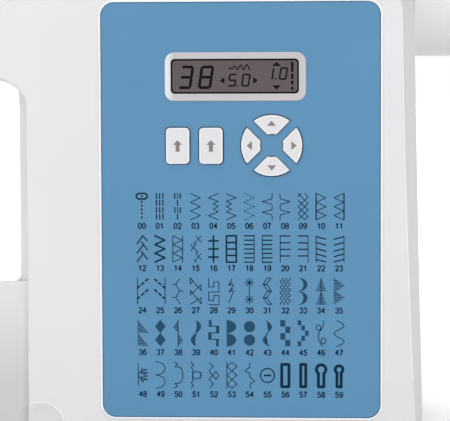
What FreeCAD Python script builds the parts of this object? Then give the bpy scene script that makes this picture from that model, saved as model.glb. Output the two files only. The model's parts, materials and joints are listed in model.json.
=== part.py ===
import FreeCAD
import Part
import math
import os

# A household sewing machine. Millimetres, +X towards the hand wheel, the user sits at -Y,
# +Z up. The origin is on the table under the middle of the machine.

# Overall sizes
MACHINE_LENGTH = 434.0     # left end of the head to the outer face of the hand wheel
MACHINE_DEPTH = 184.0      # faces of the panel keys to the back of the pillar
CASE_TOP = 280.0           # top of the arm above the table
BED_HEIGHT = 90.0          # sewing surface above the table
HARP_WIDTH = 122.6         # throat space, needle side to pillar
HARP_HEIGHT = 105.6        # throat space, sewing surface to arm
HEAD_WIDTH = 76.0
HEAD_DROP = 43.6           # head below the underside of the arm
ARM_SET_BACK = 22.0        # front of the head behind the front of the pillar
ARM_BACK_STEP = 38.0       # back of the arm in front of the back of the pillar
PILLAR_FLARE = 5.8         # the right side leans out this much from top to bottom

# Casing
WALL = 3.0
CASE_FLOOR = 10.0          # lower edge of the casing
LID_DEPTH = 8.0            # front cover stands this far proud of the rear cover
LID_STEP = 4.6             # front cover inside the rear cover at the top and the left
LID_FLUSH = 0.4            # the same along the throat and under the head
LID_CORNER = 5.8           # height over which it steps in below the throat's corner
LID_STEP_LOW = 3.4         # the same at the right side: at the floor,
LID_STEP_BEND = 6.6        # at the bend of that edge
LID_STEP_HIGH = 6.9        # and at the top
LID_BEND_Z = 133.0
LID_BEND_R = 3000.0
FACET_DEPTH = 14.0         # depth of the slanted face right of the front cover
SHOULDER = 14.0            # flange of the rear cover that carries the front cover
FRONT_ROUND = 1.4
SHOULDER_ROUND = 1.5
BACK_ROUND = 8.0
SWEEP_RUN = 130.0          # length over which the front swings from pillar to head
PANEL_LAND = 11.5          # flat front left of the panel
FACE_WIDTH = 15.0          # face cover at the left end of the head
SEAM = 0.2
FIT = 0.3                  # clearance of parts that move past each other
BEARING_FIT = 0.05         # radial clearance of a shaft in its bush
OVER = 1.0                 # how far cutters and joined pieces reach past a face

# Hand wheel and drive
WHEEL_RADIUS = 33.0
WHEEL_WIDTH = 26.7
WHEEL_GAP = 2.0            # top of the casing's right side to the wheel
SHAFT_BELOW_TOP = 39.0     # main shaft below the top of the arm
MAIN_SHAFT_R = 6.0
LOWER_SHAFT_R = 5.0
LOWER_SHAFT_BELOW_BED = 40.0
TIMING_R = 14.0
TIMING_WIDTH = 9.0
DRIVE_PULLEY_R = 26.0
MOTOR_RATIO = 5.0
MOTOR_R = 25.0
MOTOR_LENGTH = 74.0
BELT_THICK = 1.8
BELT_WIDTH = 6.0
FLANGE = 1.0               # rims either side of a belt
FRAME_THICK = 7.0
FRAME_CLEAR = 2.0          # frame behind the presser bar

# Control panel
PANEL_WIDTH = 145.5
PANEL_HEIGHT = 217.0
PANEL_FROM_PILLAR = 44.5   # left edge of the panel right of the pillar's left side
PANEL_LOW = 19.0           # lower edge above the table
PANEL_CORNER = 7.0
PANEL_THICK = 3.0
PANEL_PROUD = 0.4
PANEL_LEDGE = 6.0
BEZEL_WIDTH = 73.4
BEZEL_HEIGHT = 25.3
BEZEL_PROUD = 0.8
WINDOW_WIDTH = 66.6
WINDOW_HEIGHT = 18.1
WINDOW_INSET = 3.1         # window from the bezel's left edge
WINDOW_RISE = 3.8          # window from the bezel's lower edge
BEZEL_LEFT = 33.5          # from the panel's left edge
BEZEL_LOW = 165.6          # from the panel's lower edge
KEY_WIDTH = 12.35
KEY_HEIGHT = 18.85
KEY_LEFT = 33.95
KEY_PITCH = 17.35
KEY_LOW = 133.0
KEY_CORNER = 2.2
RING_X = 89.0
RING_Z = 142.5
RING_OUTER = 15.9
RING_INNER = 6.0
RING_GAP = 4.7
KEY_TRAVEL = 1.2
KEY_PROUD = 1.6
KEY_FLANGE = 1.2

# Needle works
STROKE = 30.0
NEEDLE_BAR_R = 3.6
NEEDLE_LENGTH = 38.0
NEEDLE_R = 0.45
ROD_LENGTH = 48.0
PRESSER_BEHIND = 17.0      # presser bar behind the needle bar
ZIGZAG_WIDTH = 5.0         # widest swing of the needle
PLATE_THICK = 4.0
FEED_PROUD = 1.0           # feed teeth above the needle plate
HOOK_R = 15.0
HOOK_AHEAD = 17.0          # hook axis in front of the needle

# Free arm and tray
FREE_ARM_HEIGHT = 60.0
FREE_ARM_FRONT = 40.0      # from the needle line
FREE_ARM_BACK = 36.0
ARM_WALL = 2.5
TRAY_LOW = 3.0
TRAY_END = 9.0
TRAY_FRONT_BACK = 6.0      # tray front behind the front of the pillar
TRAY_WALL = 2.4
LID_OPEN_GAP = 0.4

# Derived places
V = FreeCAD.Vector
X_LEFT = -MACHINE_LENGTH / 2
X_RIGHT = MACHINE_LENGTH / 2
Y_KEYS = -MACHINE_DEPTH / 2
Y_BACK = MACHINE_DEPTH / 2
Y_PANEL = Y_KEYS + KEY_PROUD
Y_FRONT = Y_PANEL + PANEL_PROUD
Y_HEAD = Y_FRONT + ARM_SET_BACK
Y_ARM_BACK = Y_BACK - ARM_BACK_STEP
HEAD_RIGHT = X_LEFT + HEAD_WIDTH
PILLAR_LEFT = HEAD_RIGHT + HARP_WIDTH
ARM_UNDER = BED_HEIGHT + HARP_HEIGHT
HEAD_LOW = ARM_UNDER - HEAD_DROP
CASE_RIGHT_LOW = X_RIGHT - WHEEL_WIDTH - WHEEL_GAP + PILLAR_FLARE
NEEDLE_X = X_LEFT + HEAD_WIDTH / 2
AXIS_Y = (Y_HEAD + Y_ARM_BACK) / 2
SHAFT_Z = CASE_TOP - SHAFT_BELOW_TOP
LOWER_SHAFT_Z = BED_HEIGHT - LOWER_SHAFT_BELOW_BED
FREE_ARM_LOW = BED_HEIGHT - FREE_ARM_HEIGHT
PANEL_LEFT = PILLAR_LEFT + PANEL_FROM_PILLAR
PANEL_RIGHT = PANEL_LEFT + PANEL_WIDTH
PANEL_HIGH = PANEL_LOW + PANEL_HEIGHT
SWEEP_END = PANEL_LEFT - PANEL_LAND
FACE_X = X_LEFT + FACE_WIDTH
PRESSER_Y = AXIS_Y + PRESSER_BEHIND
FRAME_Y = PRESSER_Y + NEEDLE_BAR_R + FRAME_CLEAR
FRAME_BACK = FRAME_Y + FRAME_THICK
FAR = 400.0
NEARLY_STRAIGHT = 1.57     # half angle of a corner that needs no rounding


def block(x0, x1, y0, y1, z0, z1):
    return Part.makeBox(x1 - x0, y1 - y0, z1 - z0, V(x0, y0, z0))


def rod_x(x0, x1, y, z, r):
    return Part.makeCylinder(r, x1 - x0, V(x0, y, z), V(1, 0, 0))


def rod_y(y0, y1, x, z, r):
    return Part.makeCylinder(r, y1 - y0, V(x, y0, z), V(0, 1, 0))


def rod_z(z0, z1, x, y, r):
    return Part.makeCylinder(r, z1 - z0, V(x, y, z0), V(0, 0, 1))


def join(*shapes):
    return shapes[0].multiFuse(list(shapes[1:])).removeSplitter()


def outline(points, place):
    """A closed wire through (u, v, corner radius); place turns (u, v) into a point."""
    corners = []
    count = len(points)
    for i in range(count):
        pu, pv, _ = points[i - 1]
        u, v, r = points[i]
        nu, nv, _ = points[(i + 1) % count]
        a = math.hypot(pu - u, pv - v)
        b = math.hypot(nu - u, nv - v)
        au, av = (pu - u) / a, (pv - v) / a
        bu, bv = (nu - u) / b, (nv - v) / b
        half = math.acos(max(-1.0, min(1.0, au * bu + av * bv))) / 2
        if r <= 0 or half > NEARLY_STRAIGHT:
            corners.append((place(u, v), None, place(u, v)))
            continue
        reach = r / math.tan(half)
        su, sv = au + bu, av + bv
        length = math.hypot(su, sv)
        depth = r / math.sin(half) - r
        start = place(u + au * reach, v + av * reach)
        middle = place(u + su / length * depth, v + sv / length * depth)
        end = place(u + bu * reach, v + bv * reach)
        corners.append((start, middle, end))
    edges = []
    for i in range(count):
        start, middle, end = corners[i]
        if middle is not None:
            edges.append(Part.Arc(start, middle, end).toShape())
        following = corners[(i + 1) % count][0]
        if end.distanceToPoint(following) > 1e-6:
            edges.append(Part.LineSegment(end, following).toShape())
    return Part.Wire(edges)


def prism_x(points, x0, x1):
    wire = outline(points, lambda y, z: V(x0, y, z))
    return Part.Face(wire).extrude(V(x1 - x0, 0, 0))


def prism_y(points, y0, y1):
    wire = outline(points, lambda x, z: V(x, y0, z))
    return Part.Face(wire).extrude(V(0, y1 - y0, 0))


def prism_z(points, z0, z1):
    wire = outline(points, lambda x, y: V(x, y, z0))
    return Part.Face(wire).extrude(V(0, 0, z1 - z0))


def rect(u0, u1, v0, v1, r=0.0):
    return [(u0, v0, r), (u1, v0, r), (u1, v1, r), (u0, v1, r)]


# Casing shape: the silhouette seen from the front, and the swept front and back in plan
TOP_ROUND_RIGHT = 14.0
TOP_ROUND_LEFT = 24.0
HEAD_ROUND = 8.0
HARP_CORNER_HEAD = 12.0
HARP_EASE_X = 7.0
HARP_EASE_Z = 4.8
HARP_EASE_ROUND = 3.0
HARP_EASE_SWEEP = 16.0
LID_CORNER_ROUND = 8.0
BACK_SWEEP_SHIFT = 20.0
LEAN = PILLAR_FLARE / (CASE_TOP - CASE_FLOOR)
FACET_WALL = 1.2 * WALL


def case_right(z):
    return CASE_RIGHT_LOW - LEAN * (z - CASE_FLOOR)


def arm_outline(inset, floor):
    top = CASE_TOP - inset
    under = ARM_UNDER + inset
    pillar = PILLAR_LEFT + inset
    return [
        (pillar, floor, 0),
        (case_right(floor) - inset, floor, 0),
        (case_right(top) - inset, top, max(TOP_ROUND_RIGHT - inset, 1)),
        (X_LEFT + inset, top, max(TOP_ROUND_LEFT - inset, 1)),
        (X_LEFT + inset, HEAD_LOW + inset, max(HEAD_ROUND - inset, 1)),
        (HEAD_RIGHT - inset, HEAD_LOW + inset, max(HEAD_ROUND - inset, 1)),
        (HEAD_RIGHT - inset, under, HARP_CORNER_HEAD + inset),
        (pillar - HARP_EASE_X, under, HARP_EASE_SWEEP),
        (pillar, under - HARP_EASE_Z, HARP_EASE_ROUND),
    ]


def arm_prism(inset, floor):
    return prism_y(arm_outline(inset, floor), -FAR, FAR)


def lid_right(z):
    """Right edge of the front cover: two straight runs that meet at the bend."""
    if z < LID_BEND_Z:
        share = (z - CASE_FLOOR) / (LID_BEND_Z - CASE_FLOOR)
        step = LID_STEP_LOW + (LID_STEP_BEND - LID_STEP_LOW) * share
    else:
        share = (z - LID_BEND_Z) / (CASE_TOP - LID_BEND_Z)
        step = LID_STEP_BEND + (LID_STEP_HIGH - LID_STEP_BEND) * share
    return case_right(z) - step


def lid_outline(inset, floor):
    top = CASE_TOP - LID_STEP - inset
    left = X_LEFT + LID_STEP + inset
    flush = LID_FLUSH + inset
    under = ARM_UNDER + flush
    corner = PILLAR_LEFT + flush
    edge = PILLAR_LEFT + LID_STEP + inset
    return [
        (edge, floor, 0),
        (lid_right(floor) - inset, floor, 0),
        (lid_right(LID_BEND_Z) - inset, LID_BEND_Z, LID_BEND_R),
        (lid_right(top) - inset, top, TOP_ROUND_RIGHT - LID_STEP - inset),
        (left, top, TOP_ROUND_LEFT - LID_STEP - inset),
        (left, HEAD_LOW + flush, max(HEAD_ROUND - LID_STEP - inset, 1)),
        (HEAD_RIGHT - flush, HEAD_LOW + flush, HEAD_ROUND - flush),
        (HEAD_RIGHT - flush, under, HARP_CORNER_HEAD + flush),
        (corner - HARP_EASE_X, under, HARP_EASE_SWEEP),
        (corner, under - HARP_EASE_Z, HARP_EASE_ROUND),
        (edge, under - HARP_EASE_Z - LID_CORNER, LID_CORNER_ROUND),
    ]


def lid_prism(inset, floor):
    return prism_y(lid_outline(inset, floor), -FAR, FAR)


def facet(shift):
    """The wedge taken off the rear cover beside the front cover's right edge."""
    heights = (CASE_FLOOR - WALL, LID_BEND_Z, CASE_TOP + WALL)
    y0 = Y_FRONT + LID_DEPTH
    wedges = []
    for z0, z1 in zip(heights, heights[1:]):
        x = lid_right(z0) - shift
        run = LID_STEP_BEND * FAR / FACET_DEPTH
        corners = [V(x, y0, z0), V(x + run, y0 + FAR, z0), V(x + run, y0 - FAR, z0), V(x, y0 - FAR, z0)]
        face = Part.Face(Part.makePolygon(corners + corners[:1]))
        wedges.append(face.extrude(V(lid_right(z1) - lid_right(z0), 0, z1 - z0)))
    return join(*wedges)


def sweep_edges(xa, ya, xb, yb):
    """Two arcs that swing from level at a to level at b."""
    run = (xb - xa) / 2
    rise = (yb - ya) / 2
    radius = (run * run + rise * rise) / (2 * abs(rise))
    turn = math.asin(run / radius) / 2
    du = radius * math.sin(turn)
    dv = math.copysign(radius * (1 - math.cos(turn)), rise)
    middle = V(xa + run, ya + rise, 0)
    first = Part.Arc(V(xa, ya, 0), V(xa + du, ya + dv, 0), middle)
    second = Part.Arc(middle, V(xb - du, yb - dv, 0), V(xb, yb, 0))
    return [first.toShape(), second.toShape()]


def swept_region(y_arm, y_pillar, x_end, far_y):
    """Everything between the swept wall in plan and far_y."""
    x_start = x_end - SWEEP_RUN
    corners = [V(FAR, y_pillar, 0), V(FAR, far_y, 0), V(-FAR, far_y, 0), V(-FAR, y_arm, 0)]
    edges = sweep_edges(x_start, y_arm, x_end, y_pillar)
    path = [V(x_end, y_pillar, 0)] + corners + [V(x_start, y_arm, 0)]
    edges += [Part.LineSegment(a, b).toShape() for a, b in zip(path, path[1:])]
    face = Part.Face(Part.Wire(Part.__sortEdges__(edges)))
    return face.extrude(V(0, 0, 2 * FAR)).translated(V(0, 0, -FAR / 2))


def behind_front(shift):
    return swept_region(Y_HEAD + shift, Y_FRONT + shift, SWEEP_END, FAR)


def ahead_of_back(shift):
    return swept_region(Y_ARM_BACK - shift, Y_BACK - shift, SWEEP_END + BACK_SWEEP_SHIFT, -FAR)


def swept_y(x, y_arm, y_pillar, x_end):
    run = SWEEP_RUN / 2
    rise = (y_pillar - y_arm) / 2
    radius = (run * run + rise * rise) / (2 * abs(rise))
    along = min(max(x - x_end + SWEEP_RUN, 0), SWEEP_RUN)
    near = min(along, SWEEP_RUN - along)
    bow = math.copysign(radius - math.sqrt(radius * radius - near * near), rise)
    return y_arm + bow if along < run else y_pillar - bow


def front_y(x):
    return swept_y(x, Y_HEAD, Y_FRONT, SWEEP_END)


def back_y(x):
    return swept_y(x, Y_ARM_BACK, Y_BACK, SWEEP_END + BACK_SWEEP_SHIFT)


def rim_edges(shape, points, y_at):
    """Edges where the silhouette meets the swept wall, except along the floor."""
    silhouette = outline(points, lambda x, z: V(x, 0, z))
    found = []
    for edge in shape.Edges:
        middle = edge.valueAt((edge.FirstParameter + edge.LastParameter) / 2)
        flat = Part.Vertex(middle.x, 0, middle.z)
        on_wall = abs(middle.y - y_at(middle.x)) < 1e-3
        above_floor = middle.z > CASE_FLOOR + 1e-3
        if on_wall and above_floor and silhouette.distToShape(flat)[0] < 1e-3:
            found.append(edge)
    return found


def front_shell(seam):
    body = lid_prism(0, CASE_FLOOR).common(behind_front(0)).cut(behind_front(LID_DEPTH - seam))
    body = body.makeFillet(FRONT_ROUND, rim_edges(body, lid_outline(0, CASE_FLOOR), front_y))
    hollow = lid_prism(WALL, CASE_FLOOR - WALL).common(behind_front(WALL))
    return body.cut(hollow)


def rear_shell():
    body = arm_prism(0, CASE_FLOOR).common(behind_front(LID_DEPTH)).common(ahead_of_back(0))
    rim = arm_outline(0, CASE_FLOOR)
    body = body.makeFillet(SHOULDER_ROUND, rim_edges(body, rim, lambda x: front_y(x) + LID_DEPTH))
    body = body.makeFillet(BACK_ROUND, rim_edges(body, rim, back_y)).cut(facet(0))
    hollow = arm_prism(WALL, CASE_FLOOR - WALL).common(behind_front(LID_DEPTH + WALL)).cut(facet(FACET_WALL))
    mouth = arm_prism(SHOULDER, CASE_FLOOR - WALL).cut(behind_front(LID_DEPTH + WALL + OVER))
    return body.cut(hollow.common(ahead_of_back(WALL))).cut(mouth)


# Openings in the casing
POCKET_ROUND = 2.0
HANDLE_SPAN = 150.0
HANDLE_X = PILLAR_LEFT - 12.0
HANDLE_DEPTH = 38.0
HANDLE_SUNK = 18.0
HANDLE_FRONT = AXIS_Y + 15.0
SPOOL_SPAN = 68.0
SPOOL_LEFT = PILLAR_LEFT + 84.0
SPOOL_Y = AXIS_Y - 32.0
SPOOL_HALF = 21.0
SPOOL_SUNK = 18.0
WINDER_X = case_right(CASE_TOP) - 26.0
WINDER_Y = AXIS_Y - 52.0
WINDER_SWING = 4.0
WINDER_CLEAR = 1.5
WINDER_R = 3.0
TAKE_UP_X = NEEDLE_X - 13.0
TAKE_UP_THICK = 2.4
TAKE_UP_LOW = SHAFT_Z - 50.0
TAKE_UP_HIGH = SHAFT_Z + 26.0
HEAD_KEY_X = HEAD_RIGHT - 24.0
HEAD_KEY_LOW = HEAD_LOW + 24.0
HEAD_KEY_PITCH = 17.0
HEAD_KEY_R = 6.0
ARM_KNOB_X = HEAD_RIGHT + 9.0
SLIDER_LOW = ARM_UNDER + 10.0
SLIDER_TRAVEL = 18.0
SLIDER_STEM = 4.0
DIAL_R = 15.0
DIAL_WIDTH = 8.0
DIAL_Z = CASE_TOP - 34.0
DIAL_Y = Y_HEAD + 10.0
LAMP_X = HEAD_RIGHT - 16.0
LAMP_HALF = 8.0
LAMP_LENGTH = 13.0
NEEDLE_GATE = 11.0
LEVER_HALF = 4.5
LEVER_SLOT_DOWN = 14.0
LEVER_SLOT_UP = 36.0
LEVER_PIVOT_Y = FRAME_BACK + 11.0
LEVER_PIVOT_Z = HEAD_LOW + 24.0
HUB_R = 10.0
POWER_Y = AXIS_Y + 44.0
INLET_Z = CASE_FLOOR + 24.0
INLET_WIDTH = 25.0
INLET_HEIGHT = 19.0
SWITCH_Z = CASE_FLOOR + 56.0
SWITCH_WIDTH = 20.0
SWITCH_HEIGHT = 14.0
SCOOP_R = 13.0             # at its mouth
SCOOP_X = PILLAR_LEFT + 11.2
SCOOP_Z = CASE_FLOOR + 3.6
SCOOP_DEPTH = 4.5


def pocket(shape, plan, depth):
    """Sink a walled pocket into the top of the casing; plan is (x0, x1, y0, y1)."""
    x0, x1, y0, y1 = plan
    grown = rect(x0 - WALL, x1 + WALL, y0 - WALL, y1 + WALL, POCKET_ROUND + WALL)
    liner = prism_z(grown, CASE_TOP - depth - WALL, CASE_TOP - WALL / 2)
    hole = prism_z(rect(x0, x1, y0, y1, POCKET_ROUND), CASE_TOP - depth, CASE_TOP + WALL)
    return shape.fuse(liner).cut(hole)


def handle_plan():
    half = HANDLE_SPAN / 2
    return HANDLE_X - half, HANDLE_X + half, HANDLE_FRONT, HANDLE_FRONT + HANDLE_DEPTH


def spool_plan():
    return SPOOL_LEFT, SPOOL_LEFT + SPOOL_SPAN, SPOOL_Y - SPOOL_HALF, SPOOL_Y + SPOOL_HALF


def scoop(y_mouth, depth):
    """A ball that leaves a round dish of the given depth."""
    ball_r = (SCOOP_R ** 2 + depth ** 2) / (2 * depth)
    return Part.makeSphere(ball_r, V(SCOOP_X, y_mouth + depth - ball_r, SCOOP_Z))


def right_of_face(shape):
    return shape.common(block(FACE_X, FAR, -FAR, FAR, -FAR, FAR))


def left_of_face(shape):
    return shape.common(block(-FAR, FACE_X - SEAM, -FAR, FAR, -FAR, FAR))


def panel_rect(grow):
    corner = PANEL_CORNER + grow
    return rect(PANEL_LEFT - grow, PANEL_RIGHT + grow, PANEL_LOW - grow, PANEL_HIGH + grow, corner)


def head_key_z(i):
    return HEAD_KEY_LOW + HEAD_KEY_PITCH * i


def front_cover():
    y_back_of_panel = Y_PANEL + PANEL_THICK
    cover = right_of_face(front_shell(SEAM))
    ledge = prism_y(panel_rect(WALL), Y_FRONT + WALL / 2, y_back_of_panel + WALL)
    cover = cover.fuse(ledge)
    boss = block(PILLAR_LEFT + LID_STEP, SCOOP_X + SCOOP_R + WALL, Y_FRONT + WALL / 2,
                 Y_FRONT + LID_DEPTH, CASE_FLOOR, SCOOP_Z + SCOOP_R + WALL)
    boss = boss.common(behind_front(WALL / 2)).cut(behind_front(LID_DEPTH - SEAM))
    cover = cover.fuse(boss)
    cutters = [
        prism_y(panel_rect(SEAM), Y_FRONT - WALL, y_back_of_panel),
        prism_y(panel_rect(-PANEL_LEDGE), Y_FRONT - WALL, Y_FRONT + 3 * WALL),
        scoop(Y_FRONT, SCOOP_DEPTH),
        block(TAKE_UP_X - TAKE_UP_THICK / 2 - OVER, TAKE_UP_X + TAKE_UP_THICK / 2 + OVER,
              Y_HEAD - WALL, Y_HEAD + 2 * WALL, TAKE_UP_LOW, TAKE_UP_HIGH),
        block(ARM_KNOB_X - SLIDER_STEM / 2 - FIT, ARM_KNOB_X + SLIDER_STEM / 2 + FIT, Y_HEAD - WALL,
              Y_HEAD + 2 * WALL, SLIDER_LOW - FIT, SLIDER_LOW + SLIDER_TRAVEL + SLIDER_STEM + FIT),
        block(ARM_KNOB_X - DIAL_WIDTH / 2 - FIT, ARM_KNOB_X + DIAL_WIDTH / 2 + FIT,
              Y_HEAD - WALL, Y_HEAD + 2 * WALL, DIAL_Z - DIAL_R + OVER, DIAL_Z + DIAL_R - OVER),
    ]
    for i in range(3):
        cutters.append(rod_y(Y_HEAD - WALL, Y_HEAD + 2 * WALL, HEAD_KEY_X, head_key_z(i),
                             HEAD_KEY_R + FIT))
    return cover.cut(cutters).removeSplitter()


def right_wall_hole(width, height, z):
    x = case_right(z)
    return block(x - 3 * WALL, x + 2 * WALL, POWER_Y - width / 2, POWER_Y + width / 2,
                 z - height / 2, z + height / 2)


def rear_cover():
    cover = right_of_face(rear_shell())
    cover = pocket(cover, handle_plan(), HANDLE_SUNK)
    cover = pocket(cover, spool_plan(), SPOOL_SUNK)
    slot = WINDER_R + WINDER_SWING + WINDER_CLEAR
    cutters = [
        block(PILLAR_LEFT - WALL, PILLAR_LEFT + 2 * WALL, AXIS_Y - FREE_ARM_FRONT + ARM_WALL,
              AXIS_Y + FREE_ARM_BACK - ARM_WALL, FREE_ARM_LOW + ARM_WALL, BED_HEIGHT - ARM_WALL),
        block(NEEDLE_X - NEEDLE_GATE, NEEDLE_X + NEEDLE_GATE, AXIS_Y - NEEDLE_GATE,
              PRESSER_Y + NEEDLE_GATE, HEAD_LOW - WALL, HEAD_LOW + 2 * WALL),
        block(LAMP_X - LAMP_HALF - SEAM, LAMP_X + LAMP_HALF + SEAM, AXIS_Y - LAMP_LENGTH - SEAM,
              AXIS_Y + LAMP_LENGTH + SEAM, HEAD_LOW - WALL, HEAD_LOW + 2 * WALL),
        rod_x(case_right(SHAFT_Z) - 3 * WALL, X_RIGHT, AXIS_Y, SHAFT_Z, HUB_R + OVER),
        block(NEEDLE_X - LEVER_HALF - OVER, NEEDLE_X + LEVER_HALF + OVER, Y_ARM_BACK - 2 * WALL,
              Y_ARM_BACK + WALL, LEVER_PIVOT_Z - LEVER_SLOT_DOWN, LEVER_PIVOT_Z + LEVER_SLOT_UP),
        right_wall_hole(INLET_WIDTH + 2 * SEAM, INLET_HEIGHT + 2 * SEAM, INLET_Z),
        right_wall_hole(SWITCH_WIDTH + 2 * SEAM, SWITCH_HEIGHT + 2 * SEAM, SWITCH_Z),
        prism_z(rect(WINDER_X - slot, WINDER_X + slot, WINDER_Y - WINDER_R - WINDER_CLEAR,
                     WINDER_Y + WINDER_R + WINDER_CLEAR, WINDER_R), CASE_TOP - 2 * WALL, CASE_TOP + WALL),
    ]
    return cover.cut(cutters).removeSplitter()


def face_cover():
    return join(left_of_face(front_shell(0)), left_of_face(rear_shell()))


# Control panel, display and keys
KEY_SOFT = 0.7
BEZEL_CORNER = 5.0
BEZEL_SOFT = 0.64
WINDOW_CORNER = 2.0
LENS_THICK = 1.2
LENS_SUNK = 0.5            # lens behind the face of its bezel
MODULE_THICK = 5.0
BOARD_THICK = 1.6
BOARD_BEHIND = 9.0         # control board behind the back of the panel
BOARD_MARGIN = 8.0
BOARD_CORNER = 2.0
BEZEL_LIP = 1.0            # bezel over the edge of its hole
MODULE_IN = 4.0            # support behind the display, in from its edge
SWITCH_R = 2.0
Y_PANEL_BACK = Y_PANEL + PANEL_THICK
Y_BOARD = Y_PANEL_BACK + BOARD_BEHIND
KEY_NAMES = ("pattern_tens_key", "pattern_units_key")
RING_NAMES = ("width_up_key", "length_up_key", "width_down_key", "length_down_key")


def soften(shape, radius, chosen):
    return shape.makeFillet(radius, [e for e in shape.Edges if chosen(e)])


def in_plane_y(y):
    return lambda edge: all(abs(v.Y - y) < 1e-4 for v in edge.Vertexes)


def key_rect(i, grow):
    left = PANEL_LEFT + KEY_LEFT + KEY_PITCH * i
    low = PANEL_LOW + KEY_LOW
    return rect(left - grow, left + KEY_WIDTH + grow, low - grow, low + KEY_HEIGHT + grow,
                KEY_CORNER + grow)


def ring_sector(i, grow, y0, y1):
    """One quarter of the ring of arrow keys; 0 is right, 1 top, 2 left, 3 bottom."""
    x = PANEL_LEFT + RING_X
    z = PANEL_LOW + RING_Z
    ring = rod_y(y0, y1, x, z, RING_OUTER + grow).cut(rod_y(y0, y1, x, z, RING_INNER - grow))
    reach = 2 * RING_OUTER
    start = (RING_GAP / 2 - grow) / math.sin(math.radians(45))
    wedge = prism_y([(x + start, z, 0), (x + start + reach, z - reach, 0),
                     (x + start + reach, z + reach, 0)], y0, y1)
    wedge.rotate(V(x, 0, z), V(0, -1, 0), 90 * i)
    return ring.common(wedge)


def bezel_rect(grow):
    left = PANEL_LEFT + BEZEL_LEFT
    low = PANEL_LOW + BEZEL_LOW
    return rect(left - grow, left + BEZEL_WIDTH + grow, low - grow, low + BEZEL_HEIGHT + grow,
                BEZEL_CORNER + grow)


def window_rect(grow):
    left = PANEL_LEFT + BEZEL_LEFT + WINDOW_INSET
    low = PANEL_LOW + BEZEL_LOW + WINDOW_RISE
    return rect(left - grow, left + WINDOW_WIDTH + grow, low - grow, low + WINDOW_HEIGHT + grow,
                WINDOW_CORNER + grow)


def control_panel():
    y0 = Y_PANEL
    y1 = Y_PANEL_BACK
    panel = prism_y(panel_rect(0), y0, y1)
    panel = soften(panel, PANEL_PROUD, in_plane_y(y0))
    cutters = [prism_y(key_rect(i, FIT), y0 - OVER, y1 + OVER) for i in range(2)]
    cutters += [ring_sector(i, FIT, y0 - OVER, y1 + OVER) for i in range(4)]
    cutters.append(prism_y(bezel_rect(-BEZEL_LIP), y0 - OVER, y1 + OVER))
    return panel.cut(cutters)


def display_bezel():
    face = prism_y(bezel_rect(0), Y_PANEL - BEZEL_PROUD, Y_PANEL)
    face = soften(face, BEZEL_SOFT, in_plane_y(Y_PANEL - BEZEL_PROUD))
    neck = prism_y(bezel_rect(-BEZEL_LIP - SEAM), Y_PANEL, Y_PANEL_BACK)
    window = prism_y(window_rect(0), Y_PANEL - 2 * BEZEL_PROUD, Y_PANEL_BACK + OVER)
    return join(face, neck).cut(window)


def display_lens():
    y0 = Y_PANEL - BEZEL_PROUD + LENS_SUNK
    return prism_y(window_rect(-SEAM), y0, y0 + LENS_THICK)


def display_module():
    y0 = Y_PANEL - BEZEL_PROUD + LENS_SUNK + LENS_THICK
    glass = prism_y(window_rect(-SEAM), y0, Y_PANEL_BACK)
    backing = prism_y(bezel_rect(0), Y_PANEL_BACK, Y_PANEL_BACK + MODULE_THICK)
    return join(glass, backing)


def finish_key(cap, flange, stem):
    return join(soften(cap, KEY_SOFT, in_plane_y(Y_KEYS)), flange, stem)


def key_stem(x, z):
    tip = Y_BOARD - SWITCH_R - KEY_TRAVEL - FIT
    return rod_y(Y_PANEL_BACK, tip, x, z, SWITCH_R)


def key_centre(i):
    return (PANEL_LEFT + KEY_LEFT + KEY_PITCH * i + KEY_WIDTH / 2, PANEL_LOW + KEY_LOW + KEY_HEIGHT / 2)


def ring_centre(i):
    middle = (RING_OUTER + RING_INNER) / 2
    turn = math.radians(90 * i)
    return (PANEL_LEFT + RING_X + middle * math.cos(turn), PANEL_LOW + RING_Z + middle * math.sin(turn))


def pattern_key(i):
    y0 = Y_PANEL_BACK + FIT
    cap = prism_y(key_rect(i, 0), Y_KEYS, y0 + KEY_FLANGE)
    flange = prism_y(key_rect(i, KEY_FLANGE), y0, y0 + KEY_FLANGE)
    return finish_key(cap, flange, key_stem(*key_centre(i)))


def ring_key(i):
    y0 = Y_PANEL_BACK + FIT
    cap = ring_sector(i, 0, Y_KEYS, y0 + KEY_FLANGE)
    flange = ring_sector(i, KEY_FLANGE, y0, y0 + KEY_FLANGE)
    return finish_key(cap, flange, key_stem(*ring_centre(i)))


def control_board():
    low = PANEL_LOW + KEY_LOW - 3 * BOARD_MARGIN
    high = PANEL_LOW + BEZEL_LOW + BEZEL_HEIGHT + BOARD_MARGIN
    left = PANEL_LEFT + PANEL_LEDGE + BOARD_MARGIN
    right = PANEL_RIGHT - PANEL_LEDGE - BOARD_MARGIN
    board = prism_y(rect(left, right, low, high, BOARD_CORNER), Y_BOARD, Y_BOARD + BOARD_THICK)
    places = [key_centre(i) for i in range(2)] + [ring_centre(i) for i in range(4)]
    pieces = [rod_y(Y_BOARD - SWITCH_R, Y_BOARD, x, z, SWITCH_R + OVER) for x, z in places]
    for x in (left + BOARD_MARGIN / 2, right - BOARD_MARGIN / 2):
        for z in (low + BOARD_MARGIN / 2, high - BOARD_MARGIN / 2):
            pieces.append(rod_y(Y_PANEL_BACK, Y_BOARD, x, z, SWITCH_R + OVER))
    pieces.append(prism_y(bezel_rect(-MODULE_IN), Y_PANEL_BACK + MODULE_THICK, Y_BOARD))
    return join(board, display_module(), *pieces)


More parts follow.
